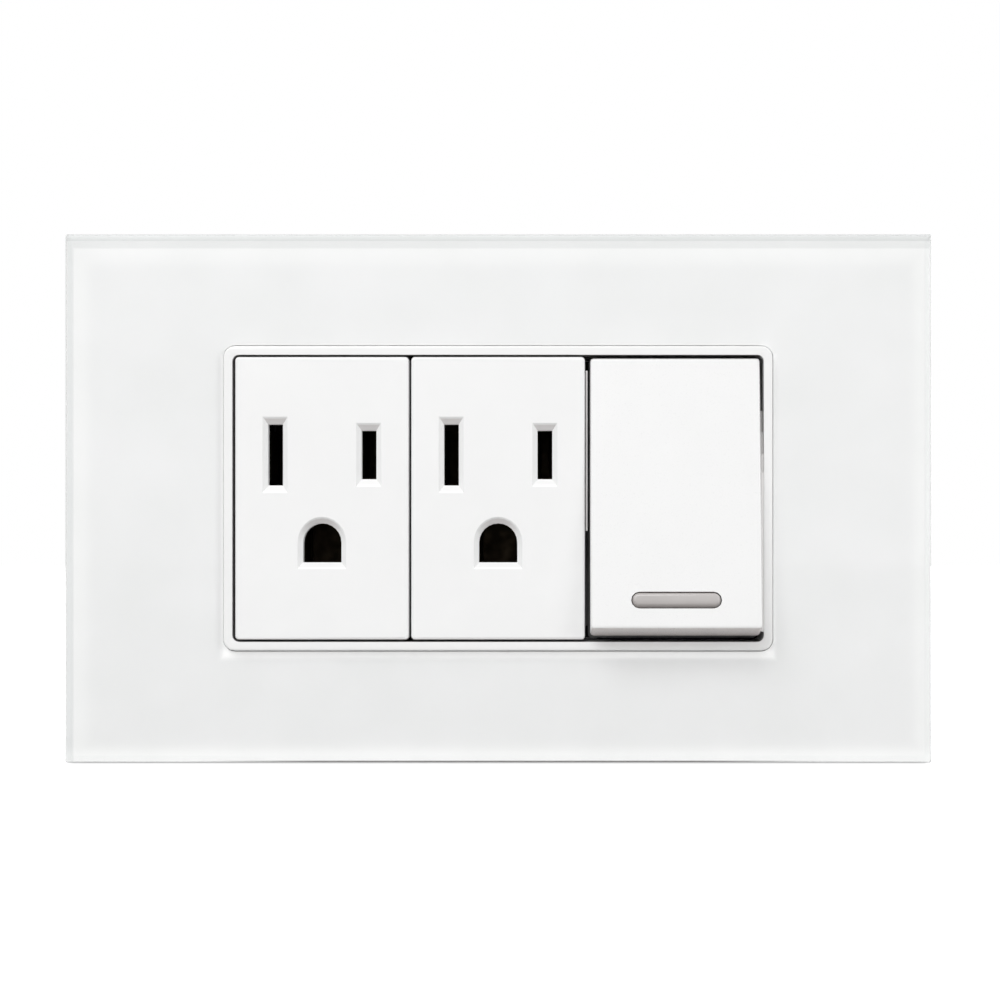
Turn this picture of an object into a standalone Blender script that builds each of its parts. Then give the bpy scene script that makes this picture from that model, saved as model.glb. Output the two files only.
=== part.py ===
"""Wall plate with two three-pin sockets and one rocker switch.

X runs to the right along the plate, Z runs up, and the front looks along -Y.
The wall is the plane Y = 0, and the origin lies on it behind the plate's centre.
"""

import math

import bmesh
import bpy
from mathutils import Matrix, Vector

MM = 0.001

# Clearances
SEAT_GAP = 0.3 * MM
SLIDE_GAP = 0.2 * MM
BAY_SIDE_GAP = 0.4 * MM
KEY_SIDE_GAP = 0.15 * MM

# How far a cutter or a joined piece reaches past the surface it works on
CUT_OVER = 1.0 * MM
JOIN_OVER = 0.5 * MM
FUNNEL_OVER = 0.1 * MM

# Points closer than this are one point
MERGE_DISTANCE = 0.005 * MM

# Front plate of glass with its window
PLATE_SIDE_BORDER = 22.9 * MM
PLATE_END_BORDER = 16.5 * MM
GLASS_THICKNESS = 5.0 * MM
GLASS_CORNER_RADIUS = 0.8 * MM
GLASS_ARRIS = 0.7 * MM
WINDOW_CLEARANCE = 0.2 * MM

# Carrier behind the glass
CARRIER_INSET = 1.0 * MM
CARRIER_DEPTH = 4.4 * MM
CARRIER_WALL = 1.8 * MM
CARRIER_CORNER_RADIUS = 1.5 * MM
CARRIER_BEVEL = 0.25 * MM
LIP_WALL = 1.2 * MM
LIP_CORNER_RADIUS = 1.5 * MM
LIP_PROUD = 0.8 * MM
SCREW_HEAD_WELL_RADIUS = 4.6 * MM
HOOK_OUTWARD = 1.35 * MM
HOOK_END_MARGIN = 14.0 * MM
HOOK_THICKNESS = 1.6 * MM
HOOK_WIDTH = 6.0 * MM
HOOK_BARB = 0.9 * MM
HOOK_TIP_LENGTH = 1.6 * MM

# Bonding tape between carrier and glass
TAPE_THICKNESS = 0.4 * MM
TAPE_WIDTH_SHARE = 0.42
TAPE_MARGIN_SHARE = 0.21

# Support frame screwed to the wall box
FLANGE_SIDE_INSET = 7.0 * MM
FLANGE_END_INSET = 5.0 * MM
FLANGE_THICKNESS = 2.0 * MM
FLANGE_CORNER_RADIUS = 4.0 * MM
COLLAR_HEIGHT = 1.0 * MM
OPENING_RIM = 1.4 * MM
OPENING_END_GAP = 0.4 * MM
FIXING_OUTWARD = 5.65 * MM
FIXING_SLOT_WIDTH = 4.2 * MM
FIXING_SLOT_LENGTH = 7.5 * MM
STIFFENER_LENGTH = 52.0 * MM
STIFFENER_WIDTH = 1.6 * MM
STIFFENER_INWARD = 0.75 * MM

# Screws to the wall box
BOX_SCREW_RADIUS = 1.75 * MM
BOX_SCREW_LENGTH = 24.0 * MM
BOX_SCREW_HEAD_RADIUS = 3.4 * MM
BOX_SCREW_HEAD_HEIGHT = 1.9 * MM
BOX_SCREW_CROWN_SHARE = 0.72
DRIVE_SLOT_WIDTH = 0.8 * MM
DRIVE_SLOT_DEPTH = 0.8 * MM

# Modules
MODULE_WIDTH = 23.6 * MM
MODULE_HEIGHT = 38.4 * MM
MODULE_PROUD = 0.2 * MM
BODY_SIDE_INSET = 1.5 * MM
BODY_END_INSET = 2.0 * MM
BODY_REAR_Y = 16.2 * MM
BODY_WALL = 1.4 * MM
BODY_CORNER_RADIUS = 0.8 * MM
LEDGE_WIDTH = 1.2 * MM
TERMINAL_THICKNESS = 0.8 * MM
TERMINAL_Y = 7.4 * MM
RIB_THICKNESS = 1.4 * MM
RIB_LOWERED = 0.55 * MM
BACK_COVER_THICKNESS = 1.5 * MM
SNAP_REACH = 1.1 * MM
SNAP_LENGTH = 2.4 * MM
SNAP_WIDTH = 8.0 * MM

# Socket front
FACE_WALL = 2.0 * MM
FACE_DEPTH = 4.0 * MM
FACE_SKIRT = 1.3 * MM
FACE_CORNER_RADIUS = 0.5 * MM
FACE_EDGE_ROUND = 0.35 * MM
BLADE_INSET = 5.45 * MM
BLADES_BELOW_TOP = 13.3 * MM
BLADE_SLOT_WIDTH = 2.0 * MM
NEUTRAL_SLOT_HEIGHT = 8.3 * MM
LIVE_SLOT_HEIGHT = 6.6 * MM
GROUND_BELOW_MIDDLE = 6.0 * MM
GROUND_HOLE_WIDTH = 5.2 * MM
GROUND_HOLE_LOWER = 2.7 * MM
FUNNEL_SIDE = 0.72 * MM
FUNNEL_END = 1.05 * MM
FUNNEL_GROUND_END = 0.92 * MM
FUNNEL_DEPTH = 0.6 * MM
BODY_HOLE_MARGIN = 0.15 * MM
BOSS_WALL = 2.1 * MM

# Socket contacts, folded from strip
STRIP_THICKNESS = 0.6 * MM
BLADE_CLIP_HEIGHT = 7.0 * MM
BLADE_CLIP_HALF_PINCH = 0.5 * MM
BLADE_CLIP_HALF_BASE = 1.7 * MM
GROUND_CLIP_HEIGHT = 5.0 * MM
GROUND_CLIP_HALF_PINCH = 2.2 * MM
GROUND_CLIP_HALF_BASE = 3.2 * MM
CLIP_FLARE = 0.7 * MM
CLIP_MOUTH_Y = -6.4 * MM
CLIP_PINCH_Y = -4.2 * MM
CLIP_STRAIGHT_Y = 0.5 * MM
BLADE_PLATE_ABOVE_RIB = 2.5 * MM
GROUND_PLATE_HALF = 4.4 * MM
GROUND_PLATE_BELOW_RIB = 2.0 * MM

# Terminals with their screws and clamp plates
TERMINAL_END_MARGIN = 3.8 * MM
TERMINAL_SCREW_SHARE = 0.1458
TERMINAL_SCREW_HEAD_SHARE = 0.2812
TERMINAL_SCREW_HEAD_HEIGHT = 1.8 * MM
TERMINAL_SCREW_LENGTH = 5.2 * MM
CLAMP_SIDE_GAP = 0.9 * MM
CLAMP_END_GAP = 0.6 * MM
CLAMP_THICKNESS = 1.0 * MM
WIRE_SPACE = 0.8 * MM
WIRE_NOTCH_WIDTH = 4.6 * MM
ACCESS_HOLE_RADIUS = 3.2 * MM

# Rocker switch
TILT = math.radians(7.0)
PIVOT_Y = -6.8 * MM
KEY_SIDE_INSET = 0.25 * MM
KEY_END_INSET = 0.75 * MM
KEY_FACE_TO_PIVOT = 6.3 * MM
KEY_SKIRT = 5.0 * MM
KEY_WALL = 1.3 * MM
KEY_FACE_WALL = 1.7 * MM
KEY_EDGE_ROUND = 0.45 * MM
KEY_LUG_RADIUS = 2.0 * MM
KEY_LUG_THICKNESS = 1.1 * MM
PIVOT_PIN_RADIUS = 0.9 * MM
PIVOT_PIN_LENGTH = 1.2 * MM
PIVOT_CLEARANCE = 0.06 * MM
LENS_LENGTH = 12.2 * MM
LENS_WIDTH = 2.25 * MM
LENS_GAP = 0.1 * MM
LENS_FLANGE = 0.7 * MM
LENS_FLANGE_THICKNESS = 0.8 * MM
LENS_PROUD = 0.2 * MM
LENS_ABOVE_EDGE = 3.85 * MM
CRADLE_FLANGE = 1.2 * MM
CRADLE_SIDE_INSET = 0.05 * MM
EAR_THICKNESS = 1.3 * MM
EAR_WIDTH = 4.0 * MM
DRIVER_OUTER = 5.0 * MM
DRIVER_BORE_RADIUS = 1.5 * MM
DRIVER_PAD_WIDTH = 10.0 * MM
DRIVER_PAD_HEIGHT = 8.0 * MM
DRIVER_PAD_THICKNESS = 1.2 * MM
PLUNGER_RADIUS = 1.2 * MM
PLUNGER_LENGTH = 6.5 * MM
PLUNGER_STICKOUT = 4.0 * MM
PLUNGER_MID_GAP = 0.09 * MM
SPRING_WIRE_RADIUS = 0.16 * MM
SPRING_RADIUS = 0.95 * MM
SPRING_TURNS = 5
SEESAW_Y = 4.0 * MM
SEESAW_THICKNESS = 0.8 * MM
SEESAW_WIDTH = 4.0 * MM
SEESAW_HALF_LENGTH = 9.2 * MM
SEESAW_PIN_RADIUS = 0.65 * MM
CONTACT_OFFSET_Z = 7.8 * MM
CONTACT_RADIUS = 1.3 * MM
MOVING_CONTACT_HEIGHT = 0.6 * MM
FIXED_CONTACT_HEIGHT = 1.0 * MM
FULCRUM_EAR_THICKNESS = 0.8 * MM
FULCRUM_EAR_WIDTH = 3.0 * MM
FULCRUM_EAR_INSET = 0.05 * MM
LED_ABOVE_LENS = 2.2 * MM
LED_RADIUS = 1.5 * MM
LED_LENGTH = 3.4 * MM
LED_BASE_RADIUS = 1.9 * MM
LED_BASE_HEIGHT = 0.8 * MM
BOARD_WIDTH = 14.0 * MM
BOARD_HEIGHT = 3.8 * MM
BOARD_THICKNESS = 1.0 * MM

# Levels along Y, from the wall to the front
FLANGE_FRONT_Y = -FLANGE_THICKNESS
MODULE_SEAT_Y = FLANGE_FRONT_Y - COLLAR_HEIGHT - SEAT_GAP
CARRIER_FRONT_Y = -CARRIER_DEPTH
TAPE_BACK_Y = CARRIER_FRONT_Y - SEAT_GAP
GLASS_BACK_Y = TAPE_BACK_Y - TAPE_THICKNESS - SEAT_GAP
GLASS_FRONT_Y = GLASS_BACK_Y - GLASS_THICKNESS
LIP_FRONT_Y = GLASS_FRONT_Y - LIP_PROUD
FACE_FRONT_Y = LIP_FRONT_Y - MODULE_PROUD
FACE_BACK_Y = FACE_FRONT_Y + FACE_DEPTH
BOSS_FRONT_Y = FACE_FRONT_Y + FACE_WALL + SEAT_GAP
SHOULDER_FRONT_Y = FACE_BACK_Y + SEAT_GAP
CRADLE_FRONT_Y = MODULE_SEAT_Y - CRADLE_FLANGE
LEDGE_Y = TERMINAL_Y - SEAT_GAP
TERMINAL_BACK_Y = TERMINAL_Y + TERMINAL_THICKNESS
CLAMP_FRONT_Y = TERMINAL_BACK_Y + WIRE_SPACE
SCREW_SEAT_Y = CLAMP_FRONT_Y + CLAMP_THICKNESS + SEAT_GAP
BACK_COVER_Y = BODY_REAR_Y + SEAT_GAP

# Plan sizes that follow from the ones above
MODULE_PITCH = MODULE_WIDTH + SEAT_GAP
SOCKET_CENTRES = (-MODULE_PITCH, 0.0)
SWITCH_CENTRE = MODULE_PITCH + KEY_SIDE_GAP
MODULE_BAY_WIDTH = 3 * MODULE_WIDTH + 2 * SEAT_GAP + 2 * BAY_SIDE_GAP
MODULE_BAY_HEIGHT = MODULE_HEIGHT + 2 * SEAT_GAP
GLASS_WIDTH = MODULE_BAY_WIDTH + 2 * PLATE_SIDE_BORDER
GLASS_HEIGHT = MODULE_BAY_HEIGHT + 2 * PLATE_END_BORDER
BODY_WIDTH = MODULE_WIDTH - 2 * BODY_SIDE_INSET
BODY_HEIGHT = MODULE_HEIGHT - 2 * BODY_END_INSET
LIP_WIDTH = MODULE_BAY_WIDTH + 2 * LIP_WALL
LIP_HEIGHT = MODULE_BAY_HEIGHT + 2 * LIP_WALL
CARRIER_WIDTH = GLASS_WIDTH - 2 * CARRIER_INSET
CARRIER_HEIGHT = GLASS_HEIGHT - 2 * CARRIER_INSET
TAPE_WIDTH = TAPE_WIDTH_SHARE * (CARRIER_HEIGHT - LIP_HEIGHT) / 2
TAPE_MARGIN = TAPE_MARGIN_SHARE * (CARRIER_HEIGHT - LIP_HEIGHT) / 2
FLANGE_WIDTH = GLASS_WIDTH - 2 * FLANGE_SIDE_INSET
FLANGE_HEIGHT = GLASS_HEIGHT - 2 * FLANGE_END_INSET
OPENING_WIDTH = MODULE_BAY_WIDTH - 2 * OPENING_RIM
OPENING_HEIGHT = BODY_HEIGHT + 2 * OPENING_END_GAP
FIXING_SPACING = MODULE_BAY_WIDTH + 2 * FIXING_OUTWARD
HOOK_SPACING_X = (LIP_WIDTH + FLANGE_WIDTH) / 2 + 2 * HOOK_OUTWARD
HOOK_SPACING_Z = FLANGE_HEIGHT - 2 * HOOK_END_MARGIN
STIFFENER_OFFSET = (MODULE_BAY_HEIGHT + FLANGE_HEIGHT) / 4 - STIFFENER_INWARD
COLLAR_WIDTH = MODULE_BAY_WIDTH - 2 * SEAT_GAP
COLLAR_OUTER_HEIGHT = MODULE_BAY_HEIGHT - 2 * SEAT_GAP
INNER_WIDTH = BODY_WIDTH - 2 * BODY_WALL
INNER_HEIGHT = BODY_HEIGHT - 2 * BODY_WALL
CHAMBER_WIDTH = (INNER_WIDTH - RIB_THICKNESS) / 2
CLAMP_WIDTH = CHAMBER_WIDTH - 2 * CLAMP_SIDE_GAP
CLAMP_HEIGHT = 2 * (TERMINAL_END_MARGIN - CLAMP_END_GAP)
TERMINAL_OFFSET_X = (RIB_THICKNESS + CHAMBER_WIDTH) / 2
TERMINAL_OFFSET_Z = INNER_HEIGHT / 2 - TERMINAL_END_MARGIN
TERMINAL_SCREW_RADIUS = TERMINAL_SCREW_SHARE * CHAMBER_WIDTH
TERMINAL_SCREW_HEAD_RADIUS = TERMINAL_SCREW_HEAD_SHARE * CHAMBER_WIDTH
KEY_WIDTH = MODULE_WIDTH - 2 * KEY_SIDE_INSET
KEY_FACE_HEIGHT = MODULE_HEIGHT - 2 * KEY_END_INSET
CRADLE_WIDTH = MODULE_WIDTH - 2 * CRADLE_SIDE_INSET
BLADE_SPACING = MODULE_WIDTH - 2 * BLADE_INSET
BLADE_LINE_Z = MODULE_HEIGHT / 2 - BLADES_BELOW_TOP
GROUND_Z = -GROUND_BELOW_MIDDLE
RIB_Z = (BLADE_LINE_Z + GROUND_Z) / 2 - RIB_LOWERED
BLADE_PLATE_FOOT = RIB_Z + BLADE_PLATE_ABOVE_RIB
GROUND_PLATE_TOP = RIB_Z - GROUND_PLATE_BELOW_RIB

# Levels in the rocker's own frame, whose origin is its pivot
KEY_FRONT_Y = -KEY_FACE_TO_PIVOT
LENS_Z = -KEY_FACE_HEIGHT / 2 + LENS_ABOVE_EDGE
LED_Z = LENS_Z + LED_ABOVE_LENS
PLUNGER_REACH = SEESAW_Y - SEESAW_THICKNESS / 2 - PIVOT_Y - PLUNGER_MID_GAP
DRIVER_REAR_Y = PLUNGER_REACH - PLUNGER_STICKOUT
SPRING_FRONT_Y = KEY_FRONT_Y + KEY_FACE_WALL + SEAT_GAP + DRIVER_PAD_THICKNESS
SPRING_REAR_Y = PLUNGER_REACH - PLUNGER_LENGTH - SLIDE_GAP

MATERIALS = {
    "glass": ((0.86, 0.87, 0.87, 1.0), 0.05, 0.0),
    "white_plastic": ((0.86, 0.86, 0.85, 1.0), 0.35, 0.0),
    "black_plastic": ((0.03, 0.03, 0.03, 1.0), 0.5, 0.0),
    "grey_plastic": ((0.35, 0.35, 0.36, 1.0), 0.5, 0.0),
    "tape": ((0.75, 0.75, 0.72, 1.0), 0.8, 0.0),
    "lens": ((0.62, 0.6, 0.59, 1.0), 0.25, 0.0),
    "brass": ((0.72, 0.52, 0.25, 1.0), 0.3, 1.0),
    "steel": ((0.6, 0.6, 0.6, 1.0), 0.3, 1.0),
    "board": ((0.05, 0.25, 0.12, 1.0), 0.6, 0.0),
}

PART_COLLECTION = "switch_and_socket_combination"
CUTTER_COLLECTION = "cutters"
ARC_STEP = math.radians(22.5)
SHARP_ANGLE = math.radians(35)


def clear_scene():
    for item in list(bpy.data.objects):
        bpy.data.objects.remove(item, do_unlink=True)
    for name in (PART_COLLECTION, CUTTER_COLLECTION):
        collection = bpy.data.collections.new(name)
        bpy.context.scene.collection.children.link(collection)


def material(name):
    found = bpy.data.materials.get(name)
    if found:
        return found
    colour, roughness, metallic = MATERIALS[name]
    made = bpy.data.materials.new(name)
    made.use_nodes = True
    shader = made.node_tree.nodes["Principled BSDF"]
    shader.inputs["Base Color"].default_value = colour
    shader.inputs["Roughness"].default_value = roughness
    shader.inputs["Metallic"].default_value = metallic
    made.diffuse_color = colour
    return made


def add_object(name, mesh, place=(0.0, 0.0, 0.0)):
    made = bpy.data.objects.new(name, mesh)
    made.location = place
    bpy.data.collections[PART_COLLECTION].objects.link(made)
    return made


def finish(made, material_name, parent=None):
    """Gives the piece its material and hangs it on its joint's empty."""
    made.data.materials.clear()
    made.data.materials.append(material(material_name).copy())
    if parent:
        made.parent = parent
    return made


def rounded_rectangle(width, height, radius, centre=(0.0, 0.0)):
    """Counter-clockwise outline with arcs at its corners."""
    steps = max(1, round(math.pi / 2 / ARC_STEP))
    points = []
    for quarter, (side_u, side_v) in enumerate(((1, 1), (-1, 1), (-1, -1), (1, -1))):
        corner_u = centre[0] + side_u * (width / 2 - radius)
        corner_v = centre[1] + side_v * (height / 2 - radius)
        for step in range(steps + 1):
            angle = (quarter + step / steps) * math.pi / 2
            points.append((corner_u + radius * math.cos(angle), corner_v + radius * math.sin(angle)))
    return points


def rectangle(low_u, low_v, high_u, high_v):
    return [(low_u, low_v), (high_u, low_v), (high_u, high_v), (low_u, high_v)]


def circle(radius, centre=(0.0, 0.0), steps=16):
    turn = 2 * math.pi / steps
    return [
        (centre[0] + radius * math.cos(i * turn), centre[1] + radius * math.sin(i * turn))
        for i in range(steps)
    ]


def stadium(length, width, centre=(0.0, 0.0), steps=8):
    """Outline of a slot with round ends, long along its first axis."""
    points = []
    for side, first in ((1, -math.pi / 2), (-1, math.pi / 2)):
        for step in range(steps + 1):
            angle = first + math.pi * step / steps
            u = centre[0] + side * (length - width) / 2 + width / 2 * math.cos(angle)
            points.append((u, centre[1] + width / 2 * math.sin(angle)))
    return points


def arch(half_width, lower, grow_side=0.0, grow_end=0.0, steps=12):
    """Half round at the top and flat at the bottom, centred on the round."""
    side = half_width + grow_side
    top = half_width + grow_end
    points = [
        (side * math.cos(math.pi * i / steps), top * math.sin(math.pi * i / steps))
        for i in range(steps + 1)
    ]
    return points + [(-side, -lower - grow_end), (side, -lower - grow_end)]


PLANES = {
    "XZ": Matrix(((1, 0, 0, 0), (0, 0, -1, 0), (0, 1, 0, 0), (0, 0, 0, 1))),
    "YZ": Matrix(((0, 0, 1, 0), (1, 0, 0, 0), (0, 1, 0, 0), (0, 0, 0, 1))),
    "XY": Matrix.Identity(4),
}
NORMAL_AXIS = {"XZ": (0, 1, 0), "YZ": (1, 0, 0), "XY": (0, 0, 1)}


def prism_mesh(name, loops, low, high, plane):
    """Flat outline, with holes where it has more loops, drawn out from low to high."""
    curve = bpy.data.curves.new(name, "CURVE")
    curve.dimensions = "2D"
    curve.fill_mode = "BOTH"
    curve.extrude = (high - low) / 2
    for loop in loops:
        spline = curve.splines.new("POLY")
        spline.points.add(len(loop) - 1)
        for point, (u, v) in zip(spline.points, loop):
            point.co = (u, v, 0.0, 1.0)
        spline.use_cyclic_u = True
    guide = bpy.data.objects.new(name, curve)
    bpy.context.scene.collection.objects.link(guide)
    graph = bpy.context.evaluated_depsgraph_get()
    mesh = bpy.data.meshes.new_from_object(guide.evaluated_get(graph))
    bpy.data.objects.remove(guide, do_unlink=True)
    bpy.data.curves.remove(curve)
    middle = Vector(NORMAL_AXIS[plane]) * (low + high) / 2
    work = bmesh.new()
    work.from_mesh(mesh)
    bmesh.ops.remove_doubles(work, verts=work.verts, dist=MERGE_DISTANCE)
    bmesh.ops.transform(work, matrix=Matrix.Translation(middle) @ PLANES[plane], verts=work.verts)
    bmesh.ops.dissolve_limit(
        work, angle_limit=0.01, verts=work.verts, edges=work.edges, delimit={"NORMAL"}
    )
    bmesh.ops.recalc_face_normals(work, faces=work.faces)
    work.to_mesh(mesh)
    work.free()
    return mesh


def prism(name, loops, low, high, plane="XZ", place=(0.0, 0.0, 0.0)):
    return add_object(name, prism_mesh(name, loops, low, high, plane), place)


def box(name, low, high, place=(0.0, 0.0, 0.0)):
    mesh = bpy.data.meshes.new(name)
    work = bmesh.new()
    size = [top - bottom for bottom, top in zip(low, high)]
    centre = [(top + bottom) / 2 for bottom, top in zip(low, high)]
    bmesh.ops.create_cube(work, size=1.0)
    bmesh.ops.scale(work, vec=size, verts=work.verts)
    bmesh.ops.translate(work, vec=centre, verts=work.verts)
    work.to_mesh(mesh)
    work.free()
    return add_object(name, mesh, place)


def cylinder(name, radius, start, end, place=(0.0, 0.0, 0.0), end_radius=None, segments=16):
    """Round bar from start to end, tapered where the end radius differs."""
    start, end = Vector(start), Vector(end)
    along = end - start
    mesh = bpy.data.meshes.new(name)
    work = bmesh.new()
    bmesh.ops.create_cone(
        work,
        cap_ends=True,
        segments=segments,
        radius1=radius,
        radius2=radius if end_radius is None else end_radius,
        depth=along.length,
    )
    turn = Vector((0, 0, 1)).rotation_difference(along).to_matrix().to_4x4()
    bmesh.ops.transform(work, matrix=Matrix.Translation((start + end) / 2) @ turn, verts=work.verts)
    work.to_mesh(mesh)
    work.free()
    mesh.shade_smooth()
    mesh.set_sharp_from_angle(angle=SHARP_ANGLE)
    return add_object(name, mesh, place)


def loft(name, sections, place=(0.0, 0.0, 0.0)):
    """Closed skin through loops that have the same number of points each."""
    work = bmesh.new()
    rings = [[work.verts.new(point) for point in section] for section in sections]
    for lower, upper in zip(rings, rings[1:]):
        for i in range(len(lower)):
            j = (i + 1) % len(lower)
            work.faces.new((lower[i], lower[j], upper[j], upper[i]))
    work.faces.new(rings[0])
    work.faces.new(rings[-1])
    bmesh.ops.recalc_face_normals(work, faces=work.faces)
    mesh = bpy.data.meshes.new(name)
    work.to_mesh(mesh)
    work.free()
    return add_object(name, mesh, place)


def turned(name, profile, place=(0.0, 0.0, 0.0), segments=16):
    """Turned piece about Y: the profile lists radius and Y, from the front end to the rear end."""
    mesh = bpy.data.meshes.new(name)
    points = [(radius, 0.0, -y) for radius, y in profile]
    mesh.from_pydata(points, [(i, i + 1) for i in range(len(points) - 1)], [])
    made = add_object(name, mesh, place)
    made.rotation_euler = (math.pi / 2, 0.0, 0.0)
    screw = made.modifiers.new("turn", "SCREW")
    screw.steps = segments
    screw.render_steps = segments
    screw.use_smooth_shade = True
    screw.use_merge_vertices = True
    screw.merge_threshold = MERGE_DISTANCE
    return made


def fuse(target, tools, operation="UNION"):
    """Joins the tools to the piece, or cuts them out of it."""
    for tool in tools:
        for collection in list(tool.users_collection):
            collection.objects.unlink(tool)
        bpy.data.collections[CUTTER_COLLECTION].objects.link(tool)
        tool.hide_render = True
        tool.display_type = "WIRE"
        step = target.modifiers.new(operation.lower(), "BOOLEAN")
        step.operation = operation
        step.object = tool
    return target


def cut(target, tools):
    return fuse(target, tools, "DIFFERENCE")


def round_edges(made, width, segments=2, angle=40.0):
    """Bevels every edge that turns by more than the angle."""
    step = made.modifiers.new("edges", "BEVEL")
    step.width = width
    step.segments = segments
    step.limit_method = "ANGLE"
    step.angle_limit = math.radians(angle)
    return made


def mirrored(outline):
    """The same outline seen in a mirror at u = 0, still counter-clockwise."""
    return [(-u, v) for u, v in reversed(outline)]


def flipped(outline):
    """The same outline turned upside down, still counter-clockwise."""
    return [(u, -v) for u, v in reversed(outline)]


def build_glass_panel():
    outline = rounded_rectangle(GLASS_WIDTH, GLASS_HEIGHT, GLASS_CORNER_RADIUS)
    panel = prism("glass_panel", [outline], GLASS_FRONT_Y, GLASS_BACK_Y)
    round_edges(panel, GLASS_ARRIS, segments=1, angle=60.0)
    window = rounded_rectangle(
        LIP_WIDTH + 2 * WINDOW_CLEARANCE,
        LIP_HEIGHT + 2 * WINDOW_CLEARANCE,
        LIP_CORNER_RADIUS + WINDOW_CLEARANCE,
    )
    cut(panel, [prism("window_cut", [window], GLASS_FRONT_Y - CUT_OVER, GLASS_BACK_Y + CUT_OVER)])
    finish(panel, "glass")


def build_bonding_tape():
    width = CARRIER_WIDTH - 2 * TAPE_MARGIN
    height = CARRIER_HEIGHT - 2 * TAPE_MARGIN
    loops = [
        rounded_rectangle(width, height, CARRIER_CORNER_RADIUS),
        rounded_rectangle(width - 2 * TAPE_WIDTH, height - 2 * TAPE_WIDTH, CARRIER_CORNER_RADIUS),
    ]
    finish(prism("bonding_tape", loops, TAPE_BACK_Y - TAPE_THICKNESS, TAPE_BACK_Y), "tape")


def hook_outline():
    """Snap hook seen from above: a leg out of the web with a barb behind the flange."""
    inner = HOOK_SPACING_X / 2 - HOOK_THICKNESS / 2
    outer = inner + HOOK_THICKNESS
    root = CARRIER_FRONT_Y + CARRIER_WALL / 2
    tip = SEAT_GAP + HOOK_TIP_LENGTH
    return [
        (inner, root),
        (outer, root),
        (outer, SEAT_GAP),
        (outer + HOOK_BARB, SEAT_GAP),
        (outer + HOOK_BARB / 4, tip),
        (inner, tip),
    ]


def build_plate_carrier():
    outline = rounded_rectangle(CARRIER_WIDTH, CARRIER_HEIGHT, CARRIER_CORNER_RADIUS)
    carrier = prism("plate_carrier", [outline], CARRIER_FRONT_Y, 0.0)
    hollow = rounded_rectangle(
        CARRIER_WIDTH - 2 * CARRIER_WALL, CARRIER_HEIGHT - 2 * CARRIER_WALL, CARRIER_BEVEL
    )
    web_back = CARRIER_FRONT_Y + CARRIER_WALL
    cut(carrier, [prism("carrier_hollow", [hollow], web_back, CUT_OVER)])
    lip = rounded_rectangle(LIP_WIDTH, LIP_HEIGHT, LIP_CORNER_RADIUS)
    lip_block = prism("lip_block", [lip], LIP_FRONT_Y, CARRIER_FRONT_Y + CARRIER_WALL / 2)
    round_edges(lip_block, CARRIER_BEVEL)
    fuse(carrier, [lip_block])
    bay = rounded_rectangle(MODULE_BAY_WIDTH, MODULE_BAY_HEIGHT, LIP_CORNER_RADIUS - LIP_WALL / 2)
    openings = [prism("bay_cut", [bay], LIP_FRONT_Y - CUT_OVER, CUT_OVER)]
    for side in (-1, 1):
        well = circle(SCREW_HEAD_WELL_RADIUS, (side * FIXING_SPACING / 2, 0.0), steps=24)
        openings.append(prism("screw_head_well", [well], CARRIER_FRONT_Y - CUT_OVER, -JOIN_OVER))
    cut(carrier, openings)
    hooks = []
    for z in (-HOOK_SPACING_Z / 2, HOOK_SPACING_Z / 2):
        for outline in (hook_outline(), mirrored(hook_outline())):
            hooks.append(prism("hook", [outline], z - HOOK_WIDTH / 2, z + HOOK_WIDTH / 2, "XY"))
    fuse(carrier, hooks)
    finish(carrier, "white_plastic")


def build_support_frame():
    outline = rounded_rectangle(FLANGE_WIDTH, FLANGE_HEIGHT, FLANGE_CORNER_RADIUS)
    frame = prism("support_frame", [outline], FLANGE_FRONT_Y, 0.0)
    collar = rounded_rectangle(COLLAR_WIDTH, COLLAR_OUTER_HEIGHT, FACE_CORNER_RADIUS)
    raised = [prism("collar_block", [collar], FLANGE_FRONT_Y - COLLAR_HEIGHT, -FLANGE_THICKNESS / 2)]
    rear_of_ribs = -FLANGE_THICKNESS / 2
    rib_front = CARRIER_FRONT_Y + CARRIER_WALL + SEAT_GAP
    for side in (-1, 1):
        z = side * STIFFENER_OFFSET
        low = (-STIFFENER_LENGTH / 2, rib_front, z - STIFFENER_WIDTH / 2)
        high = (STIFFENER_LENGTH / 2, rear_of_ribs, z + STIFFENER_WIDTH / 2)
        raised.append(box("stiffener", low, high))
    fuse(frame, raised)
    opening = rounded_rectangle(OPENING_WIDTH, OPENING_HEIGHT, FACE_CORNER_RADIUS)
    front = FLANGE_FRONT_Y - COLLAR_HEIGHT - CUT_OVER
    openings = [prism("frame_opening", [opening], front, CUT_OVER)]
    for side in (-1, 1):
        slot = stadium(FIXING_SLOT_LENGTH, FIXING_SLOT_WIDTH, (side * FIXING_SPACING / 2, 0.0))
        openings.append(prism("fixing_slot", [slot], front, CUT_OVER))
        inner = HOOK_SPACING_X / 2 - HOOK_THICKNESS / 2 - HOOK_BARB - SEAT_GAP
        outer = HOOK_SPACING_X / 2 + HOOK_THICKNESS / 2 + SEAT_GAP
        for z in (-HOOK_SPACING_Z / 2, HOOK_SPACING_Z / 2):
            half = HOOK_WIDTH / 2 + SEAT_GAP
            port = rectangle(inner, z - half, outer, z + half)
            port = mirrored(port) if side < 0 else port
            openings.append(prism("hook_port", [port], front, CUT_OVER))
    cut(frame, openings)
    finish(frame, "black_plastic")


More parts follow.
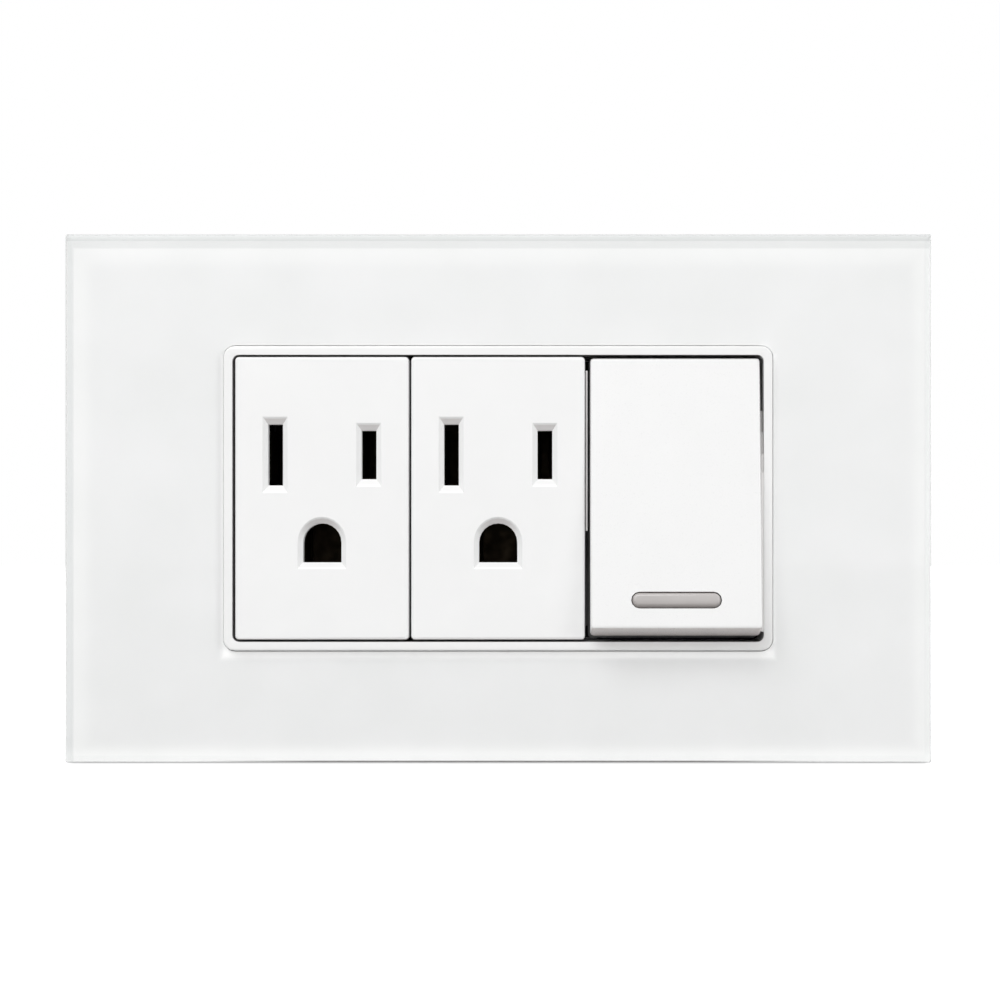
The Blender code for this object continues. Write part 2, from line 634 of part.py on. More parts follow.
def build_box_screw(name, x):
    """Pan head screw to the wall box, its slot across the head."""
    head_back = FLANGE_FRONT_Y - SEAT_GAP
    head_front = head_back - BOX_SCREW_HEAD_HEIGHT
    profile = [
        (0.0, head_front),
        (BOX_SCREW_HEAD_RADIUS * BOX_SCREW_CROWN_SHARE, head_front),
        (BOX_SCREW_HEAD_RADIUS, head_front + BOX_SCREW_HEAD_HEIGHT / 2),
        (BOX_SCREW_HEAD_RADIUS, head_back),
        (BOX_SCREW_RADIUS, head_back),
        (BOX_SCREW_RADIUS, head_back + BOX_SCREW_LENGTH - BOX_SCREW_RADIUS),
        (0.0, head_back + BOX_SCREW_LENGTH),
    ]
    screw = turned(name, profile, (x, 0.0, 0.0))
    low = (-BOX_SCREW_HEAD_RADIUS - CUT_OVER, head_front - CUT_OVER, -DRIVE_SLOT_WIDTH / 2)
    high = (BOX_SCREW_HEAD_RADIUS + CUT_OVER, head_front + DRIVE_SLOT_DEPTH, DRIVE_SLOT_WIDTH / 2)
    cut(screw, [box("drive_slot", low, high, (x, 0.0, 0.0))])
    finish(screw, "steel")


def build_terminal_screw(name, x, z):
    """Terminal screw, its head to the rear and its shank through clamp and terminal."""
    head_rear = SCREW_SEAT_Y + TERMINAL_SCREW_HEAD_HEIGHT
    profile = [
        (0.0, SCREW_SEAT_Y - TERMINAL_SCREW_LENGTH),
        (TERMINAL_SCREW_RADIUS, SCREW_SEAT_Y - TERMINAL_SCREW_LENGTH),
        (TERMINAL_SCREW_RADIUS, SCREW_SEAT_Y),
        (TERMINAL_SCREW_HEAD_RADIUS, SCREW_SEAT_Y),
        (TERMINAL_SCREW_HEAD_RADIUS, head_rear),
        (0.0, head_rear),
    ]
    screw = turned(name, profile, (x, 0.0, z), segments=12)
    reach = TERMINAL_SCREW_HEAD_RADIUS + CUT_OVER
    low = (-reach, head_rear - DRIVE_SLOT_DEPTH, -DRIVE_SLOT_WIDTH / 2)
    high = (reach, head_rear + CUT_OVER, DRIVE_SLOT_WIDTH / 2)
    cut(screw, [box("drive_slot", low, high, (x, 0.0, z))])
    finish(screw, "steel")


def screw_hole(x=0.0, z=0.0):
    return circle(TERMINAL_SCREW_RADIUS + SEAT_GAP, (x, z), steps=12)


def build_clamp(name, x, z):
    """Square clamp plate that the screw pulls down on the wire."""
    half_x, half_z = CLAMP_WIDTH / 2, CLAMP_HEIGHT / 2
    loops = [rectangle(-half_x, -half_z, half_x, half_z), screw_hole()]
    clamp = prism(name, loops, CLAMP_FRONT_Y, CLAMP_FRONT_Y + CLAMP_THICKNESS, place=(x, 0.0, z))
    finish(clamp, "steel")


def build_terminal_hardware(prefix, names, centre_x, places):
    for name, (x, z) in zip(names, places):
        build_clamp(f"{prefix}_{name}_clamp", centre_x + x, z)
        build_terminal_screw(f"{prefix}_{name}_screw", centre_x + x, z)


def leaf_outline(half_pinch, half_base):
    """One spring leaf of a contact clip seen from above, on the +X side of the blade."""
    inner = [
        (half_pinch + CLIP_FLARE, CLIP_MOUTH_Y),
        (half_pinch, CLIP_PINCH_Y),
        (half_base, CLIP_STRAIGHT_Y),
        (half_base, TERMINAL_Y + TERMINAL_THICKNESS / 2),
    ]
    outer = [(x + STRIP_THICKNESS, y) for x, y in inner]
    return outer + inner[::-1]


def build_contact(name, centre_x, clip, plate, hole):
    """Folded strip: two spring leaves that rise from a flat terminal plate."""
    x, z, height, half_pinch, half_base = clip
    loops = [plate, screw_hole(*hole)]
    contact = prism(name, loops, TERMINAL_Y, TERMINAL_BACK_Y, place=(centre_x, 0.0, 0.0))
    leaf = leaf_outline(half_pinch, half_base)
    leaves = [
        prism("leaf", [outline], z - height / 2, z + height / 2, "XY", (centre_x + x, 0.0, 0.0))
        for outline in (leaf, mirrored(leaf))
    ]
    fuse(contact, leaves)
    finish(contact, "brass")


def slot_cutter(name, x, z, half_width, half_height, front, back):
    low = (x - half_width, front, z - half_height)
    high = (x + half_width, back, z + half_height)
    return box(name, low, high)


def funnel_cutter(name, outer, inner, x, z):
    """Tapered mouth from the outer outline on the face to the inner one below it."""
    over = FUNNEL_OVER / (FUNNEL_DEPTH + FUNNEL_OVER)
    front = [
        (x + u + (u - v) * over, FACE_FRONT_Y - FUNNEL_OVER, z + s + (s - t) * over)
        for (u, s), (v, t) in zip(outer, inner)
    ]
    rear = [(x + v, FACE_FRONT_Y + FUNNEL_DEPTH, z + t) for v, t in inner]
    return loft(name, [front, rear])


def blade_slots():
    half_width = BLADE_SLOT_WIDTH / 2
    return (
        (-BLADE_SPACING / 2, half_width, NEUTRAL_SLOT_HEIGHT / 2),
        (BLADE_SPACING / 2, half_width, LIVE_SLOT_HEIGHT / 2),
    )


def build_socket_face(name, x):
    """White front moulding: a shallow cap with funnel-mouthed slots."""
    outline = rounded_rectangle(MODULE_WIDTH, MODULE_HEIGHT, FACE_CORNER_RADIUS, (x, 0.0))
    face = prism(name, [outline], FACE_FRONT_Y, FACE_BACK_Y)
    round_edges(face, FACE_EDGE_ROUND)
    hollow = rectangle(
        x - MODULE_WIDTH / 2 + FACE_SKIRT,
        -MODULE_HEIGHT / 2 + FACE_SKIRT,
        x + MODULE_WIDTH / 2 - FACE_SKIRT,
        MODULE_HEIGHT / 2 - FACE_SKIRT,
    )
    tools = [prism("face_hollow", [hollow], FACE_FRONT_Y + FACE_WALL, FACE_BACK_Y + CUT_OVER)]
    through = FACE_FRONT_Y + FACE_WALL + JOIN_OVER
    for offset, half_width, half_height in blade_slots():
        inner = rectangle(-half_width, -half_height, half_width, half_height)
        wide, tall = half_width + FUNNEL_SIDE, half_height + FUNNEL_END
        outer = rectangle(-wide, -tall, wide, tall)
        tools.append(funnel_cutter("slot_mouth", outer, inner, x + offset, BLADE_LINE_Z))
        front = FACE_FRONT_Y - JOIN_OVER
        tools.append(
            slot_cutter("slot", x + offset, BLADE_LINE_Z, half_width, half_height, front, through)
        )
    half = GROUND_HOLE_WIDTH / 2
    inner = arch(half, GROUND_HOLE_LOWER)
    outer = arch(half, GROUND_HOLE_LOWER, FUNNEL_SIDE, FUNNEL_GROUND_END)
    tools.append(funnel_cutter("ground_mouth", outer, inner, x, GROUND_Z))
    shifted = [(x + u, GROUND_Z + v) for u, v in inner]
    tools.append(prism("ground_hole", [shifted], FACE_FRONT_Y - JOIN_OVER, through))
    cut(face, tools)
    finish(face, "white_plastic")


def snap_outline(height):
    """Wedge on the body's top side that catches behind the frame, seen from the side."""
    catch = SEAT_GAP
    return [
        (catch, height - BODY_WALL / 2),
        (catch + SNAP_LENGTH, height - BODY_WALL / 2),
        (catch + SNAP_LENGTH, height),
        (catch, height + SNAP_REACH),
    ]


def snap_wedges(x):
    upper = snap_outline(BODY_HEIGHT / 2)
    low, high = x - SNAP_WIDTH / 2, x + SNAP_WIDTH / 2
    return [prism("snap_wedge", [outline], low, high, "YZ") for outline in (upper, flipped(upper))]


def chamber(name, low_x, low_z, high_x, high_z, front):
    """Hollow that widens at the ledge where the terminal plates seat."""
    narrow_low = max(low_z, -INNER_HEIGHT / 2 + LEDGE_WIDTH)
    narrow_high = min(high_z, INNER_HEIGHT / 2 - LEDGE_WIDTH)
    return [
        box(name, (low_x, front, narrow_low), (high_x, LEDGE_Y + JOIN_OVER, narrow_high)),
        box(name, (low_x, LEDGE_Y, low_z), (high_x, BODY_REAR_Y + CUT_OVER, high_z)),
    ]


def wire_notch(x, side):
    """Wire entry through the body's top or bottom wall, open to the rear."""
    inner = side * (INNER_HEIGHT / 2 - CUT_OVER)
    outer = side * (BODY_HEIGHT / 2 + CUT_OVER)
    low = (x - WIRE_NOTCH_WIDTH / 2, TERMINAL_BACK_Y, min(inner, outer))
    high = (x + WIRE_NOTCH_WIDTH / 2, BODY_REAR_Y + CUT_OVER, max(inner, outer))
    return box("wire_notch", low, high)


def socket_terminal_places():
    return (
        (-TERMINAL_OFFSET_X, TERMINAL_OFFSET_Z),
        (TERMINAL_OFFSET_X, TERMINAL_OFFSET_Z),
        (0.0, -TERMINAL_OFFSET_Z),
    )


def build_socket_body(name, x):
    """Black housing: a boss inside the face, a shoulder on the collar and three chambers."""
    outline = rounded_rectangle(BODY_WIDTH, BODY_HEIGHT, BODY_CORNER_RADIUS, (x, 0.0))
    body = prism(name, [outline], SHOULDER_FRONT_Y + CUT_OVER, BODY_REAR_Y)
    shoulder = rectangle(
        x - MODULE_WIDTH / 2 + SLIDE_GAP,
        -MODULE_HEIGHT / 2 + SLIDE_GAP,
        x + MODULE_WIDTH / 2 - SLIDE_GAP,
        MODULE_HEIGHT / 2 - SLIDE_GAP,
    )
    inset = FACE_SKIRT + SEAT_GAP
    boss = rectangle(
        x - MODULE_WIDTH / 2 + inset,
        -MODULE_HEIGHT / 2 + inset,
        x + MODULE_WIDTH / 2 - inset,
        MODULE_HEIGHT / 2 - inset,
    )
    fuse(body, [prism("shoulder", [shoulder], SHOULDER_FRONT_Y, MODULE_SEAT_Y)])
    fuse(body, [prism("boss", [boss], BOSS_FRONT_Y, SHOULDER_FRONT_Y + CUT_OVER)])
    fuse(body, snap_wedges(x))
    side, top = INNER_WIDTH / 2, INNER_HEIGHT / 2
    half_rib = RIB_THICKNESS / 2
    front = BOSS_FRONT_Y + BOSS_WALL
    tools = []
    tools += chamber("neutral_chamber", x - side, RIB_Z + half_rib, x - half_rib, top, front)
    tools += chamber("live_chamber", x + half_rib, RIB_Z + half_rib, x + side, top, front)
    tools += chamber("ground_chamber", x - side, -top, x + side, RIB_Z - half_rib, front)
    ahead, behind = BOSS_FRONT_Y - JOIN_OVER, front + JOIN_OVER
    for offset, half_width, half_height in blade_slots():
        wide, tall = half_width + BODY_HOLE_MARGIN, half_height + BODY_HOLE_MARGIN
        tools.append(slot_cutter("body_slot", x + offset, BLADE_LINE_Z, wide, tall, ahead, behind))
    hole = arch(GROUND_HOLE_WIDTH / 2, GROUND_HOLE_LOWER, BODY_HOLE_MARGIN, BODY_HOLE_MARGIN)
    hole = [(x + u, GROUND_Z + v) for u, v in hole]
    tools.append(prism("body_ground_hole", [hole], ahead, behind))
    for place_x, place_z in socket_terminal_places():
        tools.append(wire_notch(x + place_x, math.copysign(1, place_z)))
    cut(body, tools)
    finish(body, "black_plastic")


def build_back_cover(name, x, places):
    """Rear cover with an access hole over each terminal screw."""
    loops = [rounded_rectangle(BODY_WIDTH, BODY_HEIGHT, BODY_CORNER_RADIUS)]
    loops += [circle(ACCESS_HOLE_RADIUS, place) for place in places]
    rear = BACK_COVER_Y + BACK_COVER_THICKNESS
    cover = prism(name, loops, BACK_COVER_Y, rear, place=(x, 0.0, 0.0))
    finish(cover, "grey_plastic")


def build_socket(prefix, x):
    build_socket_face(f"{prefix}_face", x)
    build_socket_body(f"{prefix}_body", x)
    places = socket_terminal_places()
    build_back_cover(f"{prefix}_back_cover", x, places)
    top = INNER_HEIGHT / 2 - SEAT_GAP
    side = INNER_WIDTH / 2 - SEAT_GAP
    half_rib = RIB_THICKNESS / 2
    live_plate = rectangle(half_rib + SEAT_GAP, BLADE_PLATE_FOOT, side, top)
    ground_plate = rectangle(-GROUND_PLATE_HALF, -top, GROUND_PLATE_HALF, GROUND_PLATE_TOP)
    blade = (BLADE_CLIP_HEIGHT, BLADE_CLIP_HALF_PINCH, BLADE_CLIP_HALF_BASE)
    ground = (0.0, GROUND_Z, GROUND_CLIP_HEIGHT, GROUND_CLIP_HALF_PINCH, GROUND_CLIP_HALF_BASE)
    neutral_clip = (-BLADE_SPACING / 2, BLADE_LINE_Z, *blade)
    live_clip = (BLADE_SPACING / 2, BLADE_LINE_Z, *blade)
    build_contact(f"{prefix}_neutral_contact", x, neutral_clip, mirrored(live_plate), places[0])
    build_contact(f"{prefix}_live_contact", x, live_clip, live_plate, places[1])
    build_contact(f"{prefix}_ground_contact", x, ground, ground_plate, places[2])
    build_terminal_hardware(prefix, ("neutral", "live", "ground"), x, places)


def key_section(y, inset_x=0.0, inset_z=0.0):
    """Rectangle of the drafted key at a level behind its face, in the key's own frame."""
    depth = y + KEY_FACE_TO_PIVOT
    half_x = KEY_WIDTH / 2 - inset_x
    half_z = KEY_FACE_HEIGHT / 2 + depth * math.tan(TILT) - inset_z
    return [(-half_x, y, -half_z), (half_x, y, -half_z), (half_x, y, half_z), (-half_x, y, half_z)]


def lens_outline(grow=0.0):
    return stadium(LENS_LENGTH + 2 * grow, LENS_WIDTH + 2 * grow, (0.0, LENS_Z), steps=6)


def build_rocker_key(parent):
    """Drafted cap with a pivot lug inside each side skirt."""
    key = loft("rocker_key", [key_section(KEY_FRONT_Y), key_section(KEY_FRONT_Y + KEY_SKIRT)])
    round_edges(key, KEY_EDGE_ROUND)
    ceiling = KEY_FRONT_Y + KEY_FACE_WALL
    mouth = KEY_FRONT_Y + KEY_SKIRT + CUT_OVER
    cut(key, [loft("key_hollow", [key_section(y, KEY_WALL, KEY_WALL) for y in (ceiling, mouth)])])
    lug = stadium(KEY_LUG_RADIUS * 3, KEY_LUG_RADIUS * 2, (-KEY_LUG_RADIUS / 2, 0.0))
    outer = KEY_WIDTH / 2 - (KEY_WALL - KEY_LUG_THICKNESS) / 2
    bore = circle(PIVOT_PIN_RADIUS + PIVOT_CLEARANCE)
    lugs, bores = [], []
    for side in (-1, 1):
        low, high = sorted((side * (outer - KEY_LUG_THICKNESS), side * outer))
        lugs.append(prism("pivot_lug", [lug], low, high, "YZ"))
        bores.append(prism("pivot_bore", [bore], low - CUT_OVER, high + CUT_OVER, "YZ"))
    fuse(key, lugs)
    cut(key, bores)
    cut(key, [prism("lens_slot", [lens_outline()], KEY_FRONT_Y - CUT_OVER, ceiling + CUT_OVER)])
    for tool in key.modifiers:
        if tool.type == "BOOLEAN":
            tool.object.parent = parent
    finish(key, "white_plastic", parent)


def build_rocker_lens(parent):
    """Pill-shaped lens with a domed front and a flange behind the key's face."""
    ceiling = KEY_FRONT_Y + KEY_FACE_WALL
    rear = ceiling + SLIDE_GAP + LENS_FLANGE_THICKNESS
    levels = ((KEY_FRONT_Y - LENS_PROUD, -LENS_WIDTH / 4), (KEY_FRONT_Y, -LENS_GAP))
    sections = [[(u, y, v) for u, v in lens_outline(grow)] for y, grow in levels]
    sections.append([(u, rear - LENS_FLANGE_THICKNESS / 2, v) for u, v in lens_outline(-LENS_GAP)])
    lens = loft("rocker_lens", sections)
    flange = prism("lens_flange", [lens_outline(LENS_FLANGE)], rear - LENS_FLANGE_THICKNESS, rear)
    fuse(lens, [flange])
    flange.parent = parent
    finish(lens, "lens", parent)


def build_rocker_driver(parent):
    """Post under the key: a pad on its ceiling and a tube that holds plunger and spring."""
    pad_front = KEY_FRONT_Y + KEY_FACE_WALL + SEAT_GAP
    pad_rear = pad_front + DRIVER_PAD_THICKNESS
    half_x, half_z = DRIVER_PAD_WIDTH / 2, DRIVER_PAD_HEIGHT / 2
    driver = box("rocker_driver", (-half_x, pad_front, -half_z), (half_x, pad_rear, half_z))
    half = DRIVER_OUTER / 2
    post = box("driver_post", (-half, pad_rear - JOIN_OVER, -half), (half, DRIVER_REAR_Y, half))
    fuse(driver, [post])
    start, end = (0.0, SPRING_FRONT_Y - SLIDE_GAP, 0.0), (0.0, DRIVER_REAR_Y + CUT_OVER, 0.0)
    bore = cylinder("driver_bore", DRIVER_BORE_RADIUS, start, end)
    cut(driver, [bore])
    post.parent = parent
    bore.parent = parent
    finish(driver, "black_plastic", parent)


def build_plunger(parent):
    """Round plunger with a domed tip that rides on the seesaw."""
    front = PLUNGER_REACH - PLUNGER_LENGTH
    dome_y = PLUNGER_REACH - PLUNGER_RADIUS
    dome = [
        (PLUNGER_RADIUS * math.cos(angle), dome_y + PLUNGER_RADIUS * math.sin(angle))
        for angle in (0.0, math.pi / 8, math.pi / 4, 3 * math.pi / 8)
    ]
    profile = [(0.0, front), (PLUNGER_RADIUS, front), *dome, (0.0, PLUNGER_REACH)]
    finish(turned("plunger", profile), "steel", parent)


def build_plunger_spring(parent):
    """Coil spring between the driver's bore and the plunger."""
    steps = 10
    count = SPRING_TURNS * steps
    low, high = SPRING_FRONT_Y + SPRING_WIRE_RADIUS, SPRING_REAR_Y - SPRING_WIRE_RADIUS
    curve = bpy.data.curves.new("plunger_spring", "CURVE")
    curve.dimensions = "3D"
    curve.bevel_depth = SPRING_WIRE_RADIUS
    curve.bevel_resolution = 1
    curve.use_fill_caps = True
    spline = curve.splines.new("POLY")
    spline.points.add(count)
    for i, point in enumerate(spline.points):
        angle = 2 * math.pi * i / steps
        along = low + (high - low) * i / count
        point.co = (SPRING_RADIUS * math.cos(angle), along, SPRING_RADIUS * math.sin(angle), 1.0)
    spring = add_object("plunger_spring", curve)
    finish(spring, "steel", parent)


def build_switch_cradle(x):
    """Front frame of the switch: a flange on the collar and two ears with pivot pins."""
    outline = rounded_rectangle(CRADLE_WIDTH, MODULE_HEIGHT, FACE_CORNER_RADIUS)
    swing = (MODULE_SEAT_Y - PIVOT_Y) * math.tan(TILT)
    window_width = DRIVER_OUTER + 4 * SEAT_GAP
    window_height = window_width + 2 * swing
    loops = [
        outline,
        rounded_rectangle(window_width, window_height, FACE_CORNER_RADIUS),
        circle(LED_BASE_RADIUS + SEAT_GAP, (0.0, LED_Z)),
    ]
    cradle = prism("switch_cradle", loops, CRADLE_FRONT_Y, MODULE_SEAT_Y, place=(x, 0.0, 0.0))
    outer = KEY_WIDTH / 2 - KEY_WALL - SEAT_GAP
    solids = []
    for side in (-1, 1):
        low, high = sorted((side * (outer - EAR_THICKNESS), side * outer))
        solids.append(prism("ear", [ear_outline()], low, high, "YZ", (x, 0.0, 0.0)))
        start = (side * (outer - EAR_THICKNESS / 2), PIVOT_Y, 0.0)
        end = (side * (outer + PIVOT_PIN_LENGTH), PIVOT_Y, 0.0)
        solids.append(cylinder("pivot_pin", PIVOT_PIN_RADIUS, start, end, (x, 0.0, 0.0)))
    fuse(cradle, solids)
    finish(cradle, "grey_plastic")


def ear_outline():
    """Ear of the cradle seen from the side: straight up from the flange, round at the pivot."""
    rear = MODULE_SEAT_Y - CRADLE_FLANGE / 2
    half = EAR_WIDTH / 2
    steps = 8
    angles = [math.pi / 2 + math.pi * i / steps for i in range(steps + 1)]
    top = [(PIVOT_Y + half * math.cos(angle), half * math.sin(angle)) for angle in angles]
    return [(rear, -half), (rear, half), *top]


def build_indicator(x):
    """Indicator lamp in the cradle's hole, on its small board."""
    base_rear = MODULE_SEAT_Y
    base_front = base_rear - LED_BASE_HEIGHT
    tip = base_front - LED_LENGTH
    dome = [
        (LED_RADIUS * math.sin(angle), tip + LED_RADIUS - LED_RADIUS * math.cos(angle))
        for angle in (math.pi / 8, math.pi / 4, 3 * math.pi / 8, math.pi / 2)
    ]
    profile = [(0.0, tip), *dome, (LED_RADIUS, base_front), (LED_BASE_RADIUS, base_front)]
    profile += [(LED_BASE_RADIUS, base_rear), (0.0, base_rear)]
    finish(turned("indicator_lamp", profile, (x, 0.0, LED_Z), segments=12), "lens")
    front = MODULE_SEAT_Y + SEAT_GAP
    low = (-BOARD_WIDTH / 2, front, LED_Z - BOARD_HEIGHT / 2)
    high = (BOARD_WIDTH / 2, front + BOARD_THICKNESS, LED_Z + BOARD_HEIGHT / 2)
    finish(box("indicator_board", low, high, (x, 0.0, 0.0)), "board")


def build_seesaw(parent):
    """Moving contact: a strip on two stub pins with a contact rivet at each end."""
    half_t = SEESAW_THICKNESS / 2
    half_w = SEESAW_WIDTH / 2
    low = (-half_w, -half_t, -SEESAW_HALF_LENGTH)
    high = (half_w, half_t, SEESAW_HALF_LENGTH)
    seesaw = box("moving_contact", low, high)
    solids = []
    for side in (-1, 1):
        reach = half_w + SLIDE_GAP + FULCRUM_EAR_THICKNESS + SLIDE_GAP
        start, end = (side * (half_w - JOIN_OVER), 0.0, 0.0), (side * reach, 0.0, 0.0)
        solids.append(cylinder("stub_pin", SEESAW_PIN_RADIUS, start, end, segments=12))
        start = (0.0, 0.0, side * CONTACT_OFFSET_Z)
        end = (0.0, half_t + MOVING_CONTACT_HEIGHT, side * CONTACT_OFFSET_Z)
        solids.append(cylinder("contact_rivet", CONTACT_RADIUS, start, end, segments=12))
    fuse(seesaw, solids)
    for solid in solids:
        solid.parent = parent
    finish(seesaw, "brass", parent)


def build_switch_terminals(x):
    """Common terminal with the seesaw's fulcrum, and the two fixed contacts."""
    side = INNER_WIDTH / 2 - SEAT_GAP
    top = INNER_HEIGHT / 2 - SEAT_GAP
    clear = CONTACT_RADIUS + SEAT_GAP
    foot = CONTACT_OFFSET_Z + clear + SEAT_GAP
    ear_reach = SEESAW_WIDTH / 2 + SLIDE_GAP + FULCRUM_EAR_THICKNESS
    half_ear = FULCRUM_EAR_WIDTH / 2
    common_plate = [
        (-side, -half_ear),
        (ear_reach, -half_ear),
        (ear_reach, half_ear),
        (-ear_reach, half_ear),
        (-ear_reach, foot),
        (-RIB_THICKNESS, foot),
        (-RIB_THICKNESS, top),
        (-side, top),
    ]
    fixed_plate = [
        (-clear, CONTACT_OFFSET_Z - clear),
        (side, CONTACT_OFFSET_Z - clear),
        (side, top),
        (RIB_THICKNESS, top),
        (RIB_THICKNESS, CONTACT_OFFSET_Z + clear),
        (-clear, CONTACT_OFFSET_Z + clear),
    ]
    place = (x, 0.0, 0.0)
    hole = screw_hole(-TERMINAL_OFFSET_X, TERMINAL_OFFSET_Z)
    levels = (TERMINAL_Y, TERMINAL_BACK_Y)
    common = prism("common_terminal", [common_plate, hole], *levels, place=place)
    solids = []
    bore = circle(SEESAW_PIN_RADIUS + PIVOT_CLEARANCE, (SEESAW_Y, 0.0), steps=12)
    inset = FULCRUM_EAR_INSET
    ear = rectangle(SEESAW_Y - half_ear, inset - half_ear, TERMINAL_BACK_Y - inset, half_ear - inset)
    for sign in (-1, 1):
        inner, outer = ear_reach - FULCRUM_EAR_THICKNESS, ear_reach - inset
        low, high = sorted((sign * inner, sign * outer))
        solids.append(prism("fulcrum_ear", [ear, bore], low, high, "YZ", place))
    fuse(common, solids)
    finish(common, "brass")
    for name, turn in (("upper_terminal", 1), ("lower_terminal", -1)):
        outline = fixed_plate if turn > 0 else flipped(fixed_plate)
        hole = screw_hole(TERMINAL_OFFSET_X, turn * TERMINAL_OFFSET_Z)
        plate = prism(name, [outline, hole], *levels, place=place)
        start = (0.0, TERMINAL_Y + TERMINAL_THICKNESS / 2, turn * CONTACT_OFFSET_Z)
        end = (0.0, TERMINAL_Y - FIXED_CONTACT_HEIGHT, turn * CONTACT_OFFSET_Z)
        fuse(plate, [cylinder("fixed_rivet", CONTACT_RADIUS, start, end, place, segments=12)])
        finish(plate, "brass")


def build_switch_housing(x, places):
    outline = rounded_rectangle(BODY_WIDTH, BODY_HEIGHT, BODY_CORNER_RADIUS, (x, 0.0))
    front = MODULE_SEAT_Y + SEAT_GAP
    housing = prism("switch_housing", [outline], front, BODY_REAR_Y)
    fuse(housing, snap_wedges(x))
    side, top = INNER_WIDTH / 2, INNER_HEIGHT / 2
    tools = chamber("switch_chamber", x - side, -top, x + side, top, front - CUT_OVER)
    for place_x, place_z in places:
        tools.append(wire_notch(x + place_x, math.copysign(1, place_z)))
    cut(housing, tools)
    finish(housing, "black_plastic")


def build_pivot(name, place, tilt):
    empty = bpy.data.objects.new(name, None)
    empty.location = place
    empty.rotation_euler = (tilt, 0.0, 0.0)
    bpy.data.collections[PART_COLLECTION].objects.link(empty)
    return empty


def build_switch(x):
    rocker_pivot = build_pivot("rocker_pivot", (x, PIVOT_Y, 0.0), -TILT)
    seesaw_pivot = build_pivot("seesaw_pivot", (x, SEESAW_Y, 0.0), TILT)
    build_rocker_key(rocker_pivot)
    build_rocker_lens(rocker_pivot)
    build_rocker_driver(rocker_pivot)
    build_plunger(rocker_pivot)
    build_plunger_spring(rocker_pivot)
    build_seesaw(seesaw_pivot)
    places = (
        (-TERMINAL_OFFSET_X, TERMINAL_OFFSET_Z),
        (TERMINAL_OFFSET_X, TERMINAL_OFFSET_Z),
        (TERMINAL_OFFSET_X, -TERMINAL_OFFSET_Z),
    )
    build_switch_cradle(x)
    build_indicator(x)
    build_switch_terminals(x)
    build_switch_housing(x, places)
    build_back_cover("switch_back_cover", x, places)
    build_terminal_hardware("switch", ("common", "upper", "lower"), x, places)


def main():
    clear_scene()
    build_glass_panel()
    build_bonding_tape()
    build_plate_carrier()
    build_support_frame()
    build_box_screw("box_screw_left", -FIXING_SPACING / 2)
    build_box_screw("box_screw_right", FIXING_SPACING / 2)
    for prefix, x in zip(("left_socket", "middle_socket"), SOCKET_CENTRES):
        build_socket(prefix, x)
    build_switch(SWITCH_CENTRE)


main()
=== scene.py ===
"""Looks of the switch and socket combination: glass, mouldings, metal parts, light and camera."""
import math

import bmesh
import bpy
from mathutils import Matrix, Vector


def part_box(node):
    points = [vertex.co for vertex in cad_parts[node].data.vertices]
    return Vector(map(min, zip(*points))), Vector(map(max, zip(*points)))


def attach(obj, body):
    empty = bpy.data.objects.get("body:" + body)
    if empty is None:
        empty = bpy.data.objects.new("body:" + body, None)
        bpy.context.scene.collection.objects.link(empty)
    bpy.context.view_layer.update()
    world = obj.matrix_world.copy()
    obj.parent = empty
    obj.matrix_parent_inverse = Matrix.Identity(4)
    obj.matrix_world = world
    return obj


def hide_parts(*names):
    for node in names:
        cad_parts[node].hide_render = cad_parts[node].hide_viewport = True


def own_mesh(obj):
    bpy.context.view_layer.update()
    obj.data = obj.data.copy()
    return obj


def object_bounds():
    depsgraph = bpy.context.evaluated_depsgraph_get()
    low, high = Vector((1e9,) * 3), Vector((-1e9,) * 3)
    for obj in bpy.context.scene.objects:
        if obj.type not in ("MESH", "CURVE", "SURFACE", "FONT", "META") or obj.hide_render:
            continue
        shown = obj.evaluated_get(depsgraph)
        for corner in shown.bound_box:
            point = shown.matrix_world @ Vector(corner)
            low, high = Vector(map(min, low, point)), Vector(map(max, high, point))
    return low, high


MM = 0.001
PI = math.pi

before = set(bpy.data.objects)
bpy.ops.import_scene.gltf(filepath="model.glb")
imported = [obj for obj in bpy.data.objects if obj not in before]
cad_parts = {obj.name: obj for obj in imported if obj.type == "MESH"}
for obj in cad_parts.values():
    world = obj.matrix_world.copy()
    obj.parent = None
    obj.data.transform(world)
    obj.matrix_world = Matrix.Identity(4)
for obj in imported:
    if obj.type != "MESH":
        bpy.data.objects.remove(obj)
cad_low, cad_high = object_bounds()

PLATE_LOW, PLATE_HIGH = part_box("glass_panel")
PLATE_FRONT = PLATE_LOW.y


# Nodes

NOISE_RANGE = (0.3, 0.7)  # where nearly all of a noise texture's values lie


def new_material(name):
    """A node material, its tree and its shader, which is joined to the output."""
    made = bpy.data.materials.new(name)
    made.use_nodes = True
    shader = made.node_tree.nodes["Principled BSDF"]
    return made, made.node_tree, shader


def bare_material(name):
    """A node material without a shader, its tree and the socket for its surface."""
    made, tree, shader = new_material(name)
    tree.nodes.remove(shader)
    return made, tree, tree.nodes["Material Output"].inputs["Surface"]


def fed(tree, socket, value):
    """Gives a socket another node's output, a colour or a number."""
    if isinstance(value, bpy.types.NodeSocket):
        tree.links.new(value, socket)
    elif isinstance(value, tuple):
        socket.default_value = (*value, 1.0)
    else:
        socket.default_value = value


def calculated(tree, operation, *values):
    """The result of a Math node, of other nodes' outputs or numbers."""
    node = tree.nodes.new("ShaderNodeMath")
    node.operation = operation
    for socket, value in zip(node.inputs, values):
        fed(tree, socket, value)
    return node.outputs["Value"]


